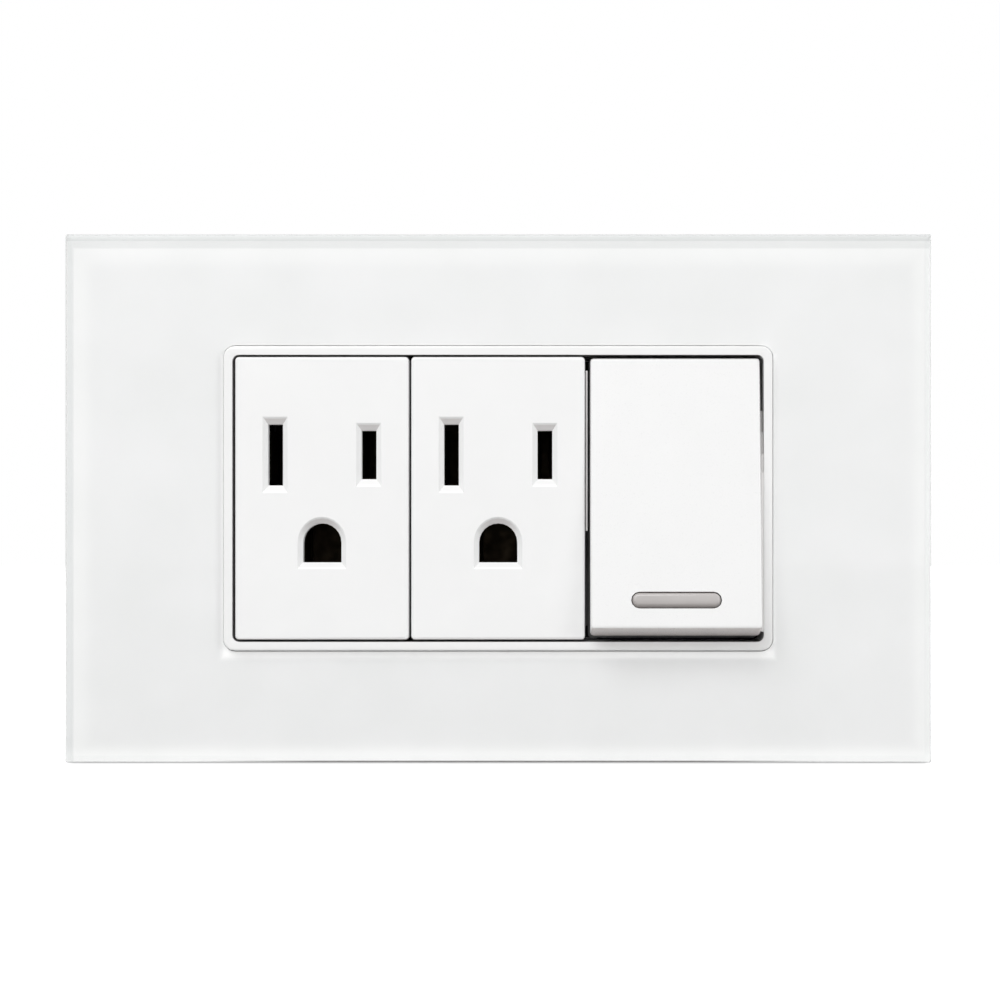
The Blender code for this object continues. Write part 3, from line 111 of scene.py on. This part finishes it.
def ranged(tree, source, start, end, low=0.0, high=1.0, smooth=False):
    """A number that is low where the source is start and high where it is end, never beyond."""
    node = tree.nodes.new("ShaderNodeMapRange")
    if smooth:
        node.interpolation_type = "SMOOTHSTEP"
    node.inputs["From Min"].default_value = start
    node.inputs["From Max"].default_value = end
    node.inputs["To Min"].default_value = low
    node.inputs["To Max"].default_value = high
    tree.links.new(source, node.inputs["Value"])
    return node.outputs["Result"]


def axes(tree, kind):
    """The X, Y and Z outputs of the part's own place (Object) or normal (Normal)."""
    split = tree.nodes.new("ShaderNodeSeparateXYZ")
    tree.links.new(tree.nodes.new("ShaderNodeTexCoord").outputs[kind], split.inputs["Vector"])
    return split.outputs


def noise(tree, scale, detail, stretch=None):
    """A noise texture in the part's own metres, stretched along one axis if asked."""
    place = tree.nodes.new("ShaderNodeTexCoord").outputs["Object"]
    if stretch is not None:
        mapping = tree.nodes.new("ShaderNodeMapping")
        mapping.inputs["Scale"].default_value = stretch
        tree.links.new(place, mapping.inputs["Vector"])
        place = mapping.outputs["Vector"]
    texture = tree.nodes.new("ShaderNodeTexNoise")
    texture.inputs["Scale"].default_value = scale
    texture.inputs["Detail"].default_value = detail
    tree.links.new(place, texture.inputs["Vector"])
    return texture.outputs["Fac"]


def spread(tree, source, low, high):
    """A number between low and high that follows a noise."""
    return ranged(tree, source, *NOISE_RANGE, low, high)


def mixed_colour(tree, factor, first, second):
    """A colour between first and second, which are colours or other nodes' outputs."""
    node = tree.nodes.new("ShaderNodeMix")
    node.data_type = "RGBA"
    for socket, value in (("Factor", factor), ("A", first), ("B", second)):
        fed(tree, node.inputs[socket], value)
    return node.outputs["Result"]


def mottled(tree, source, first, second):
    """A colour that wanders between first and second with a noise."""
    return mixed_colour(tree, spread(tree, source, 0.0, 1.0), first, second)


def scaled(values, share):
    """A colour or a range times the share."""
    return tuple(value * share for value in values)


def bumped(tree, shader, height, distance, strength):
    """Raises the surface by the height's share of the distance."""
    node = tree.nodes.new("ShaderNodeBump")
    node.inputs["Strength"].default_value = strength
    node.inputs["Distance"].default_value = distance
    tree.links.new(height, node.inputs["Height"])
    tree.links.new(node.outputs["Normal"], shader.inputs["Normal"])


# Shares: where on a piece a tint, a painted shade or a painted light lies

# Where the painted shade of the module bay lies
BAY_SIDE = 35.7 * MM
BAY_FRONT = (-10.9 * MM, -10.5 * MM)
BAY_BACK = (-5.0 * MM, -5.4 * MM)
BEYOND = -5.0  # puts a side of a box well outside the plate, where it has no effect


def front_box(left, foot, right, top):
    """Two corners of a box seen from the front, of its sides in millimetres."""
    return Vector((left, 0.0, foot)) * MM, Vector((right, 0.0, top)) * MM


def plate_box(left, foot, right, top):
    """Two corners of a box drawn in from the plate's sides by so many millimetres."""
    low, high = front_box(left, foot, right, top)
    return PLATE_LOW + low, PLATE_HIGH - high


def depth_share(tree, near, far):
    """0 at the depth near and 1 at the depth far, by the part's own y."""
    return ranged(tree, axes(tree, "Object")["Y"], near, far)


def slope_share(tree, near, far):
    """0 where the part's own normal has a z of near and 1 where it has one of far."""
    return ranged(tree, axes(tree, "Normal")["Z"], near, far)


def rim_share(tree, box, near, far):
    """1 at the distance near inside a box seen from the front and 0 at the distance far.

    Both are counted inwards from the nearest side, so a negative one lies outside the box.
    """
    low, high = box
    place = axes(tree, "Object")
    gaps = []
    for axis, middle, half in (("X", (low.x + high.x) / 2, (high.x - low.x) / 2),
                               ("Z", (low.z + high.z) / 2, (high.z - low.z) / 2)):
        size = calculated(tree, "ABSOLUTE", calculated(tree, "SUBTRACT", place[axis], middle))
        gaps.append(calculated(tree, "SUBTRACT", half, size))
    return ranged(tree, calculated(tree, "MINIMUM", *gaps), near, far, 1.0, 0.0, smooth=True)


def bay_shade_share(tree):
    """1 on the walls and ribs of the module bay, between the ring's front and the flange, where
    the bay's painted shade goes.
    """
    share = calculated(tree, "LESS_THAN", axes(tree, "Object")["X"], BAY_SIDE)
    for near, far in (BAY_FRONT, BAY_BACK):
        share = calculated(tree, "MULTIPLY", share, depth_share(tree, near, far))
    return share


# Kinds of material

CLOUD_SCALE = 130.0
LIGHTEST = 0.93
GRAIN_GLOSS = (0.88, 1.12)
GRAIN_STRENGTH = 0.6
PLASTIC_IOR = 1.49

LINE_SCALE = 900.0
LINE_GLOSS = (0.75, 1.3)
LINE_DEPTH = 0.01 * MM
LINE_STRENGTH = 0.5
STAIN_SCALE = 210.0
STAIN_SHARE = 0.84

STREAK_SCALE = 90.0
STREAK_SHARE = 0.992
GRAZING_POWER = 5.0
FACING_GLOSS = 0.04
WHITE_LIGHT = (1.0, 1.0, 1.0)
# Colour of the painted glow on the glass core
SIDE_GLOW_COLOUR = (1.0, 0.985, 0.98)


def plastic(name, colour, roughness, grain, grain_depth, shift):
    """Moulded plastic: faint cloudiness in the colour and a fine spark-eroded grain."""
    made, tree, shader = new_material(name)
    cloud = noise(tree, CLOUD_SCALE, 4.0)
    darker = scaled(colour, 1 - shift)
    lighter = tuple(min(c, LIGHTEST) for c in scaled(colour, 1 + shift))
    tree.links.new(mottled(tree, cloud, darker, lighter), shader.inputs["Base Color"])
    fine = noise(tree, grain, 2.0)
    tree.links.new(spread(tree, fine, *scaled(GRAIN_GLOSS, roughness)), shader.inputs["Roughness"])
    bumped(tree, shader, fine, grain_depth, GRAIN_STRENGTH)
    shader.inputs["IOR"].default_value = PLASTIC_IOR
    return made


def metal(name, colour, roughness, stretch):
    """Rolled or turned metal: fine lines along one direction and a slight tarnish."""
    made, tree, shader = new_material(name)
    lines = noise(tree, LINE_SCALE, 3.0, stretch)
    stain = noise(tree, STAIN_SCALE, 4.0)
    darker = scaled(colour, STAIN_SHARE)
    tree.links.new(mottled(tree, stain, darker, colour), shader.inputs["Base Color"])
    tree.links.new(spread(tree, lines, *scaled(LINE_GLOSS, roughness)), shader.inputs["Roughness"])
    bumped(tree, shader, lines, LINE_DEPTH, LINE_STRENGTH)
    shader.inputs["Metallic"].default_value = 1.0
    return made


def let_through(tree, deeper, tint):
    """Light that goes straight through, with faint streaks in its tint."""
    through = tree.nodes.new("ShaderNodeBsdfTransparent")
    streak = noise(tree, STREAK_SCALE, 2.0)
    tree.links.new(mottled(tree, streak, deeper, tint), through.inputs["Color"])
    return through.outputs["BSDF"]


def glass_skin(name, tint, roughness):
    """Clear glass seen through without bending: its gloss grows towards grazing angles."""
    made, tree, surface = bare_material(name)
    gloss = tree.nodes.new("ShaderNodeBsdfGlossy")
    gloss.inputs["Roughness"].default_value = roughness
    tilt = tree.nodes.new("ShaderNodeLayerWeight").outputs["Facing"]
    steep = calculated(tree, "POWER", tilt, GRAZING_POWER)
    mix = tree.nodes.new("ShaderNodeMixShader")
    tree.links.new(ranged(tree, steep, 0.0, 1.0, FACING_GLOSS, 1.0), mix.inputs["Fac"])
    tree.links.new(let_through(tree, scaled(tint, STREAK_SHARE), tint), mix.inputs[1])
    tree.links.new(gloss.outputs["BSDF"], mix.inputs[2])
    tree.links.new(mix.outputs["Shader"], surface)
    return made


def inner_glass(name, tint):
    """The inner side of the clear skin, which lies on the core and has no gloss of its own."""
    made, tree, surface = bare_material(name)
    tree.links.new(let_through(tree, tint, WHITE_LIGHT), surface)
    return made


def tinted(made, share, colour):
    """Mixes the colour into a plastic or metal by the share."""
    tree = made.node_tree
    base = tree.nodes["Principled BSDF"].inputs["Base Color"]
    tree.links.new(mixed_colour(tree, share, base.links[0].from_socket, colour), base)


def rim_tinted(made, box, fade, colour):
    """Mixes the colour in along the sides of a box seen from the front."""
    tinted(made, rim_share(made.node_tree, box, *fade), colour)


def painted_side_glow(made, *parts):
    """Painted light: a glow that stands for light the clear glass carries sideways, of each part's
    strength times its shares.
    """
    tree = made.node_tree
    total = 0.0
    for strength, *shares in parts:
        value = strength
        for share in shares:
            value = calculated(tree, "MULTIPLY", share, value)
        total = calculated(tree, "ADD", total, value)
    shader = tree.nodes["Principled BSDF"]
    fed(tree, shader.inputs["Emission Strength"], total)
    fed(tree, shader.inputs["Emission Color"], SIDE_GLOW_COLOUR)


def dulled(made, level):
    """Sets how much light a plastic throws back from its surface."""
    made.node_tree.nodes["Principled BSDF"].inputs["Specular IOR Level"].default_value = level


# Mouldings: colour, roughness, scale and depth of the grain, and how much the colour wanders

WHITE = plastic("satin_white_moulding", (0.86, 0.86, 0.855), 0.34, 5200.0, 0.006 * MM, 0.008)

FACE_WHITE = plastic(
    "socket_white_moulding", (0.895, 0.895, 0.893), 0.42, 6800.0, 0.008 * MM, 0.008
)
# Painted shade on the slopes of the slots' mouths: darkest on those that look down, less dark on
# those that look up
MOUTH_DEPTHS = (-11.32 * MM, -11.2 * MM)
MOUTH_SLOPE_SHADES = (((-0.2, -0.5), (0.71, 0.69, 0.682)), ((0.2, 0.5), (0.79, 0.788, 0.786)))
for slope_range, slope_shade_colour in MOUTH_SLOPE_SHADES:
    slope = slope_share(FACE_WHITE.node_tree, *slope_range)
    mouth = depth_share(FACE_WHITE.node_tree, *MOUTH_DEPTHS)
    tinted(FACE_WHITE, calculated(FACE_WHITE.node_tree, "MULTIPLY", slope, mouth), slope_shade_colour)

KEY_WHITE = plastic("rocker_white_moulding", (0.86, 0.86, 0.858), 0.3, 6000.0, 0.006 * MM, 0.008)
# Painted shade: the key's faces that look down are darker and warmer
UNDERSIDE_SHADE = (-0.4, -0.8)
tinted(KEY_WHITE, slope_share(KEY_WHITE.node_tree, *UNDERSIDE_SHADE), (0.835, 0.79, 0.775))

CARRIER_WHITE = plastic(
    "carrier_white_moulding", (0.88, 0.88, 0.875), 0.34, 5200.0, 0.006 * MM, 0.008
)
# Painted shade: the bay's walls and ribs darkened, where shade falls between the modules
tinted(CARRIER_WHITE, bay_shade_share(CARRIER_WHITE.node_tree), (0.4, 0.39, 0.385))

RIB_WHITE = plastic("switch_rib_moulding", (0.86, 0.845, 0.835), 0.4, 5200.0, 0.004 * MM, 0.01)
BLACK = plastic("matt_black_moulding", (0.018, 0.018, 0.019), 0.66, 3800.0, 0.02 * MM, 0.12)
dulled(BLACK, 0.22)
BODY_BLACK = plastic("dull_black_moulding", (0.02, 0.02, 0.021), 0.7, 3800.0, 0.02 * MM, 0.12)
dulled(BODY_BLACK, 0.0)
GREY = plastic("matt_grey_moulding", (0.3, 0.3, 0.305), 0.5, 3800.0, 0.015 * MM, 0.05)
TAPE = plastic("foam_tape", (0.72, 0.72, 0.69), 0.9, 2600.0, 0.08 * MM, 0.06)
BOARD = plastic("fibre_board", (0.05, 0.19, 0.09), 0.45, 1500.0, 0.01 * MM, 0.2)


# The glass plate's white core, with painted light and painted shade along its sides for what the
# clear glass over it shows

PAINT = plastic("white_glass_core", (0.905, 0.905, 0.908), 0.6, 2500.0, 0.001 * MM, 0.005)

# Painted bands along the sides: box, where the tint ends and begins inside it, and the tint
# Painted light: a brighter band just inside all four sides
EDGE_LIGHT_BAND = (plate_box(0.95, 0.3, 0.3, 1.75), (1.2 * MM, 3.2 * MM), (0.95, 0.95, 0.95))
# Painted shade: a grey band along the top and the left side
EDGE_SHADE_BAND = (plate_box(0.95, BEYOND, BEYOND, 1.75), (0.0, 0.35 * MM), (0.845, 0.85, 0.85))
# Painted shade: a darker line along the top
TOP_SHADE_LINE = (plate_box(BEYOND, BEYOND, BEYOND, 0.88), (-0.05 * MM, 0.05 * MM), (0.71, 0.715, 0.715))
for band in (EDGE_LIGHT_BAND, EDGE_SHADE_BAND, TOP_SHADE_LINE):
    rim_tinted(PAINT, *band)

# Painted shadow: the dark line along the foot, which fades towards both ends
FOOT_SHADOW_LINE = (plate_box(BEYOND, 0.27, BEYOND, BEYOND), -0.02 * MM, 0.02 * MM)
FOOT_SHADOW_SPAN = (front_box(-22.0, -50.0, 26.0, 50.0), 0.0, -22.0 * MM)
foot_shadow_share = calculated(
    PAINT.node_tree, "MULTIPLY",
    rim_share(PAINT.node_tree, *FOOT_SHADOW_LINE), rim_share(PAINT.node_tree, *FOOT_SHADOW_SPAN),
)
tinted(PAINT, foot_shadow_share, (0.14, 0.13, 0.128))

# Painted light: a faint glow round the window, on the front face only, and one along the foot
GLOW_STRENGTH = 0.33
GLOW_RIM = (front_box(-36.7, -20.84, 36.7, 18.4), 0.0, -1.5 * MM)
GLOW_DEPTHS = (PLATE_FRONT + 0.36 * MM, PLATE_FRONT + 0.32 * MM)
EDGE_GLOW_STRENGTH = 0.1
EDGE_GLOW_RIM = (plate_box(BEYOND, 0.0, BEYOND, BEYOND), 0.1 * MM, 2.6 * MM)
painted_side_glow(
    PAINT,
    (GLOW_STRENGTH, rim_share(PAINT.node_tree, *GLOW_RIM),
     depth_share(PAINT.node_tree, *GLOW_DEPTHS)),
    (EDGE_GLOW_STRENGTH, rim_share(PAINT.node_tree, *EDGE_GLOW_RIM)),
)


# Lens, metal and clear glass

LENS = plastic("smoked_lens", (0.49, 0.465, 0.455), 0.14, 2600.0, 0.001 * MM, 0.05)
# Painted shade: darker towards the lens's foot, and darkest along its outline
LENS_SHADE = (front_box(0.0, -14.7, 60.0, 60.0), (0.0, 1.3 * MM), (0.36, 0.335, 0.325))
LENS_RIM_SHADE = (front_box(18.05, -14.6, 30.05, -12.66), (0.0, 0.4 * MM), (0.3, 0.275, 0.265))
for band in (LENS_SHADE, LENS_RIM_SHADE):
    rim_tinted(LENS, *band)

BRASS = metal("stamped_brass", (0.73, 0.53, 0.27), 0.32, (1.0, 8.0, 1.0))
# Painted shade: the contacts are dark behind the slots, where shade falls, and brass towards the
# terminals
CONTACT = metal("painted_shade_contact", (0.06, 0.045, 0.03), 0.5, (1.0, 8.0, 1.0))
CONTACT_SHADE_DEPTHS = (12 * MM, 24 * MM)  # from dark behind the slots to brass at the terminals
tinted(CONTACT, depth_share(CONTACT.node_tree, *CONTACT_SHADE_DEPTHS), (0.5, 0.36, 0.19))
STEEL = metal("zinc_steel", (0.62, 0.62, 0.64), 0.35, (1.0, 1.0, 7.0))

GLASS = glass_skin("clear_glass", (0.99, 0.992, 0.99), 0.03)
GLASS_INNER = inner_glass("glass_inner_face", (0.99, 0.992, 0.99))
GLASS_EDGE = glass_skin("ground_glass_edge", (0.98, 0.985, 0.983), 0.4)


# Pieces that stand for CAD nodes

WELD_DISTANCE = 0.002 * MM
EDGE_SEGMENTS = 3
EDGE_ANGLE = math.radians(28.0)
FLAT_ANGLE = math.radians(32.0)
COIL_ANGLE = math.radians(50.0)

SLOT_MATERIALS = {
    "white_plastic": WHITE, "black_plastic": BLACK, "grey_plastic": GREY, "lens": LENS,
    "tape": TAPE, "brass": BRASS, "steel": STEEL, "board": BOARD, "glass": GLASS,
}
CASINGS = (
    ("_body", "black_plastic", BODY_BLACK), ("_housing", "black_plastic", BLACK),
    ("_back_cover", "grey_plastic", GREY), ("support_frame", "black_plastic", BLACK),
)
CASING_EDGE = 0.22 * MM


def placed(name, data):
    """A new object of this data in the scene."""
    made = bpy.data.objects.new(name, data)
    bpy.context.scene.collection.objects.link(made)
    return made


def coated(mesh, material, angle):
    """Gives a mesh one material, smooth where its faces meet at less than the angle."""
    mesh.materials.clear()
    mesh.materials.append(material)
    mesh.shade_smooth()
    mesh.set_sharp_from_angle(angle=angle)


def flat_faced(piece):
    """Lets the large flat faces of a piece decide its corner normals, so they stay flat."""
    weighted = piece.modifiers.new("flat_faces", "WEIGHTED_NORMAL")
    weighted.mode = "FACE_AREA"
    weighted.weight = 100
    weighted.keep_sharp = True


def softened(node, body, material, width):
    """The CAD node's own form with its edges rounded off, as a piece that stands for it."""
    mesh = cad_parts[node].data.copy()
    mesh.name = node + "_visual"
    shape = bmesh.new()
    shape.from_mesh(mesh)
    bmesh.ops.remove_doubles(shape, verts=shape.verts, dist=WELD_DISTANCE)
    shape.to_mesh(mesh)
    shape.free()
    mesh.materials.clear()
    mesh.materials.append(material)
    piece = placed(node + "_visual", mesh)
    bevel = piece.modifiers.new("edges", "BEVEL")
    bevel.width = width
    bevel.segments = EDGE_SEGMENTS
    bevel.limit_method = "ANGLE"
    bevel.angle_limit = EDGE_ANGLE
    bevel.use_clamp_overlap = True
    mesh.shade_smooth()
    flat_faced(piece)
    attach(piece, body)
    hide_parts(node)


def plunger_spring():
    """The coil spring behind the key, as a piece with its own mesh that rides on the rocker; the
    real spring shortens as the plunger slides in.
    """
    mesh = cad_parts["plunger_spring"].data.copy()
    mesh.name = "plunger_spring_visual"
    coated(mesh, STEEL, COIL_ANGLE)
    piece = placed("plunger_spring_visual", mesh)
    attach(piece, "rocker")
    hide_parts("plunger_spring")
    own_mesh(piece)


for node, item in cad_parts.items():
    slot_name = item.data.materials[0].name.split(".")[0]
    in_socket = "socket" in node and node.endswith("_contact")
    coated(item.data, CONTACT if in_socket else SLOT_MATERIALS[slot_name], FLAT_ANGLE)

softened("plate_carrier", "base", CARRIER_WHITE, 0.15 * MM)
for module in ("left_socket", "middle_socket"):
    softened(module + "_face", "base", FACE_WHITE, 0.2 * MM)
softened("rocker_key", "rocker", KEY_WHITE, 0.13 * MM)
softened("rocker_lens", "rocker", LENS, 0.25 * MM)
for node in list(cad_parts):
    for ending, slot_name, material in CASINGS:
        if node.endswith(ending):
            softened(node, "base", material, CASING_EDGE)
for screw in ("box_screw_left", "box_screw_right"):
    softened(screw, "base", STEEL, 0.08 * MM)
plunger_spring()


# The glass plate: a clear lid with a ground edge over a white core

CORNER_STEPS = 6
ARRIS_WIDTH = 1.0 * MM
ARRIS_DEPTH = 0.35 * MM
GLASS_EDGE_ROUND = 0.05 * MM
GLASS_RADIUS = 0.25 * MM
WINDOW_SIZE = (74.88 * MM, 41.68 * MM)
WINDOW_RADIUS = 1.64 * MM
WINDOW_CHAMFER = 0.04 * MM
CORE_INSET = 0.12 * MM
CORE_ARRIS = 0.95 * MM
CORE_FOOT = 0.36 * MM
CLEAR_DEPTH = 0.3 * MM
SKIN_GAP = 0.01 * MM
CORE_RING = 6  # the lid's ring over the core's outer edge, which is shallower at the foot
INNER_RINGS = (5, 6, 7)  # the lid's rings whose faces lie on the core
FRONT_FACING = 0.98  # faces that turn further away than this are ground


def rounded_outline(width, height, radius):
    """Counter-clockwise rounded rectangle round the origin."""
    points = []
    for quarter, (side_x, side_z) in enumerate(((1, 1), (-1, 1), (-1, -1), (1, -1))):
        centre_x = side_x * (width / 2 - radius)
        centre_z = side_z * (height / 2 - radius)
        for step in range(CORNER_STEPS + 1):
            angle = (quarter + step / CORNER_STEPS) * PI / 2
            x, z = radius * math.cos(angle), radius * math.sin(angle)
            points.append((centre_x + x, centre_z + z))
    return points


def plate_outline(inset):
    """The plate's outer outline, drawn in by the inset."""
    width, height = (PLATE_HIGH - PLATE_LOW).x, (PLATE_HIGH - PLATE_LOW).z
    return rounded_outline(width - 2 * inset, height - 2 * inset, GLASS_RADIUS)


def window_outline(grow):
    """The window's outline, widened by grow."""
    width, height = WINDOW_SIZE
    return rounded_outline(width + 2 * grow, height + 2 * grow, WINDOW_RADIUS + grow)


def add_piece(name, mesh, body, slot, material, *nodes):
    """Links a finished mesh as a piece that rides on a body and stands for CAD nodes."""
    coated(mesh, material, FLAT_ANGLE)
    piece = placed(name, mesh)
    flat_faced(piece)
    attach(piece, body)
    if nodes:
        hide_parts(*nodes)


def skinned(shape, rings):
    """Joins each ring of corners to the next with a row of faces."""
    for near, far in rings:
        for i in range(len(near)):
            j = (i + 1) % len(near)
            shape.faces.new((near[i], near[j], far[j], far[i]))


def finished(shape, name):
    """The shape as a mesh whose faces look outwards."""
    bmesh.ops.recalc_face_normals(shape, faces=shape.faces)
    mesh = bpy.data.meshes.new(name)
    shape.to_mesh(mesh)
    shape.free()
    return mesh


def framed_sheet(name, rings):
    """A closed sheet with a window, skinned through rings of points and back to the first.

    Each ring has its outline, its depth in the upper half and its depth in the lower half.
    """
    shape = bmesh.new()
    made = []
    for outline, top, foot in rings:
        made.append([shape.verts.new((x, top if z > 0 else foot, z)) for x, z in outline])
    skinned(shape, zip(made, made[1:] + made[:1]))
    return finished(shape, name)


def glass_panel():
    """The clear lid of the plate and the white core under it, in place of the CAD panel."""
    front, back = PLATE_LOW.y, PLATE_HIGH.y
    core_front = front + CLEAR_DEPTH
    core_side = front + ARRIS_DEPTH + CLEAR_DEPTH
    inner = CORE_INSET - SKIN_GAP
    outer = [
        (ARRIS_WIDTH, front), (GLASS_EDGE_ROUND / 2, front + ARRIS_DEPTH),
        (0.0, front + ARRIS_DEPTH + GLASS_EDGE_ROUND), (0.0, back - GLASS_EDGE_ROUND),
        (GLASS_EDGE_ROUND, back), (inner, back),
        (inner, core_side - SKIN_GAP), (CORE_ARRIS, core_front - SKIN_GAP),
    ]
    rings = [(plate_outline(inset), y, y) for inset, y in outer]
    rings[CORE_RING] = (plate_outline(inner), core_side - SKIN_GAP, front + CORE_FOOT - SKIN_GAP)
    for grow, y in (
        (0.0, core_front - SKIN_GAP), (0.0, front + WINDOW_CHAMFER), (WINDOW_CHAMFER, front),
    ):
        rings.append((window_outline(grow), y, y))
    lid = framed_sheet("glass_lid", rings)
    add_piece("glass_lid", lid, "base", "glass", GLASS, "glass_panel")
    lid.materials.append(GLASS_EDGE)
    lid.materials.append(GLASS_INNER)
    for index, face in enumerate(lid.polygons):
        if index // len(rings[0][0]) in INNER_RINGS:
            face.material_index = 2
        elif abs(face.normal.y) < FRONT_FACING:
            face.material_index = 1
    core = framed_sheet("glass_core", [
        (plate_outline(CORE_ARRIS), core_front, core_front),
        (plate_outline(CORE_INSET), core_side, front + CORE_FOOT),
        (plate_outline(CORE_INSET), back, back),
        (window_outline(0.0), back, back), (window_outline(0.0), core_front, core_front),
    ])
    add_piece("glass_core", core, "base", "glass", PAINT)


glass_panel()


# Bars of the carrier that show in the gaps between and beside the modules

CROSSBARS = ((-12.28 * MM, -11.62 * MM), (11.75 * MM, 13.6 * MM))
CROSSBAR_FRONT = -2.9 * MM
CROSSBAR_BACK = -0.3 * MM
CROSSBAR_REACH = 19.4 * MM
RIB_SIDES = (11.88 * MM, 12.18 * MM)
RIB_FRONT = -10.2 * MM
RIB_ENDS = (-4.4 * MM, 17.4 * MM)
STEP_SIDES = (35.67 * MM, 36.14 * MM)
STEP_BACK = -5.6 * MM
# The rib right of the key, in steps that lie deeper towards the top: front, foot and top
STEP_ROWS = (
    (-11.15 * MM, -18.1 * MM, 3.5 * MM), (-10.8 * MM, 3.5 * MM, 6.0 * MM),
    (-10.1 * MM, 6.0 * MM, 9.0 * MM), (-9.0 * MM, 9.0 * MM, 12.0 * MM),
)
BAR_NOSE = 0.3 * MM
BAR_TAPER = 0.15


def bars(name, slot, material, rows):
    """Upright bars drawn in a little at the front: left, right, front, back, foot and top."""
    shape = bmesh.new()
    for left, right, front, back, foot, top in rows:
        rings = []
        for y, taper in ((back, 0.0), (front + BAR_NOSE, 0.0), (front, BAR_TAPER)):
            inset = taper * (right - left)
            near, far = left + inset, right - inset
            corners = ((near, foot), (far, foot), (far, top), (near, top))
            rings.append([shape.verts.new((x, y, z)) for x, z in corners])
        skinned(shape, zip(rings, rings[1:]))
        shape.faces.new(rings[0])
        shape.faces.new(rings[-1])
    add_piece(name, finished(shape, name), "base", slot, material)


bars("bay_crossbars", "grey_plastic", GREY, [
    (left, right, CROSSBAR_FRONT, CROSSBAR_BACK, -CROSSBAR_REACH, CROSSBAR_REACH)
    for left, right in CROSSBARS
])
bars("switch_side_rib", "white_plastic", RIB_WHITE, [
    (*RIB_SIDES, RIB_FRONT, CROSSBAR_FRONT, *RIB_ENDS),
    *((*STEP_SIDES, front, STEP_BACK, foot, top) for front, foot, top in STEP_ROWS),
])


# Light

AMBIENT = 0.592
LAMPS = (  # name, place, size and power
    ("key_lamp", (-0.6, -1.53, 1.42), 1.5, 27.9),
    ("fill_lamp", (1.5, -1.5, 0.5), 1.0, 7.6),
    ("back_lamp", (1.0, 1.9, 0.5), 1.3, 18.0),
)


def area_lamp(name, place, size, power):
    """A square soft lamp at a place, turned to the part's middle."""
    data = bpy.data.lights.new(name, "AREA")
    data.shape = "SQUARE"
    data.size = size
    data.energy = power
    lamp = placed(name, data)
    lamp.location = place
    lamp.rotation_euler = (-Vector(place)).to_track_quat("-Z", "Y").to_euler()


def white_world():
    """A world that lights the part evenly and that the camera, gloss and glass see as white."""
    world = bpy.data.worlds.new("studio")
    bpy.context.scene.world = world
    world.use_nodes = True
    tree = world.node_tree
    background = tree.nodes["Background"]
    fed(tree, background.inputs["Color"], WHITE_LIGHT)
    path = tree.nodes.new("ShaderNodeLightPath")
    seen = path.outputs["Is Camera Ray"]
    for name in ("Is Glossy Ray", "Is Transmission Ray"):
        seen = calculated(tree, "MAXIMUM", seen, path.outputs[name])
    fed(tree, background.inputs["Strength"], ranged(tree, seen, 0.0, 1.0, AMBIENT, 1.0))


white_world()
for lamp_row in LAMPS:
    area_lamp(*lamp_row)


# Floor

FLOOR_DROP = 0.2 * MM
FLOOR_SIDES = 48
FLOOR_RINGS = ((0.5, 0.0), (1.2, 0.0), (2.4, 0.002))  # reach and rise in metres
FIBRE_SCALE = 700.0
PAPER_COLOURS = ((0.4, 0.4, 0.4), (0.42, 0.42, 0.42))
PAPER_ROUGHNESS = 0.9
FLOOR_LIFT = 0.75


def floor_material():
    """Paper that throws a moderate light on the part and that the camera sees as white."""
    made, tree, shader = new_material("white_paper")
    fibre = noise(tree, FIBRE_SCALE, 4.0)
    tree.links.new(mottled(tree, fibre, *PAPER_COLOURS), shader.inputs["Base Color"])
    shader.inputs["Roughness"].default_value = PAPER_ROUGHNESS
    seen = tree.nodes.new("ShaderNodeLightPath").outputs["Is Camera Ray"]
    fed(tree, shader.inputs["Emission Strength"], calculated(tree, "MULTIPLY", seen, FLOOR_LIFT))
    fed(tree, shader.inputs["Emission Color"], WHITE_LIGHT)
    return made


def studio_floor():
    """A wide round floor just under the part, raised a little at its far rim."""
    shape = bmesh.new()
    base = cad_low.z - FLOOR_DROP
    centre = shape.verts.new((0.0, 0.0, base))
    rings = []
    for reach, rise in FLOOR_RINGS:
        ring = []
        for step in range(FLOOR_SIDES):
            turn = 2 * PI * step / FLOOR_SIDES
            x, y = reach * math.cos(turn), reach * math.sin(turn)
            ring.append(shape.verts.new((x, y, base + rise)))
        rings.append(ring)
    for i in range(FLOOR_SIDES):
        shape.faces.new((centre, rings[0][i], rings[0][(i + 1) % FLOOR_SIDES]))
    skinned(shape, zip(rings[1:], rings))
    mesh = bpy.data.meshes.new("studio_floor")
    shape.to_mesh(mesh)
    shape.free()
    mesh.shade_smooth()
    mesh.materials.append(floor_material())
    placed("studio_floor", mesh)


studio_floor()


# Camera

CAMERA_DISTANCE = 0.3
CAMERA_FOOT = (8.0 * MM, -6.0 * MM)
PIXELS_PER_METRE = 7347.0
FOOT_PIXEL = (557.0, 542.5)
IMAGE_SIDE = 1000.0
SENSOR_WIDTH = 36.0
CLIP_RANGE = (0.01, 10.0)


def add_camera():
    """A level camera square to the plate; its shift puts the plate where the photograph has it."""
    data = bpy.data.cameras.new("camera")
    data.sensor_width = SENSOR_WIDTH
    data.lens = PIXELS_PER_METRE * CAMERA_DISTANCE * SENSOR_WIDTH / IMAGE_SIDE
    data.shift_x = (IMAGE_SIDE / 2 - FOOT_PIXEL[0]) / IMAGE_SIDE
    data.shift_y = (FOOT_PIXEL[1] - IMAGE_SIDE / 2) / IMAGE_SIDE
    data.clip_start, data.clip_end = CLIP_RANGE
    camera = placed("camera", data)
    camera.location = (CAMERA_FOOT[0], PLATE_FRONT - CAMERA_DISTANCE, CAMERA_FOOT[1])
    camera.rotation_euler = (PI / 2, 0.0, 0.0)
    bpy.context.scene.camera = camera


add_camera()
bpy.context.scene.view_settings.view_transform = "Standard"
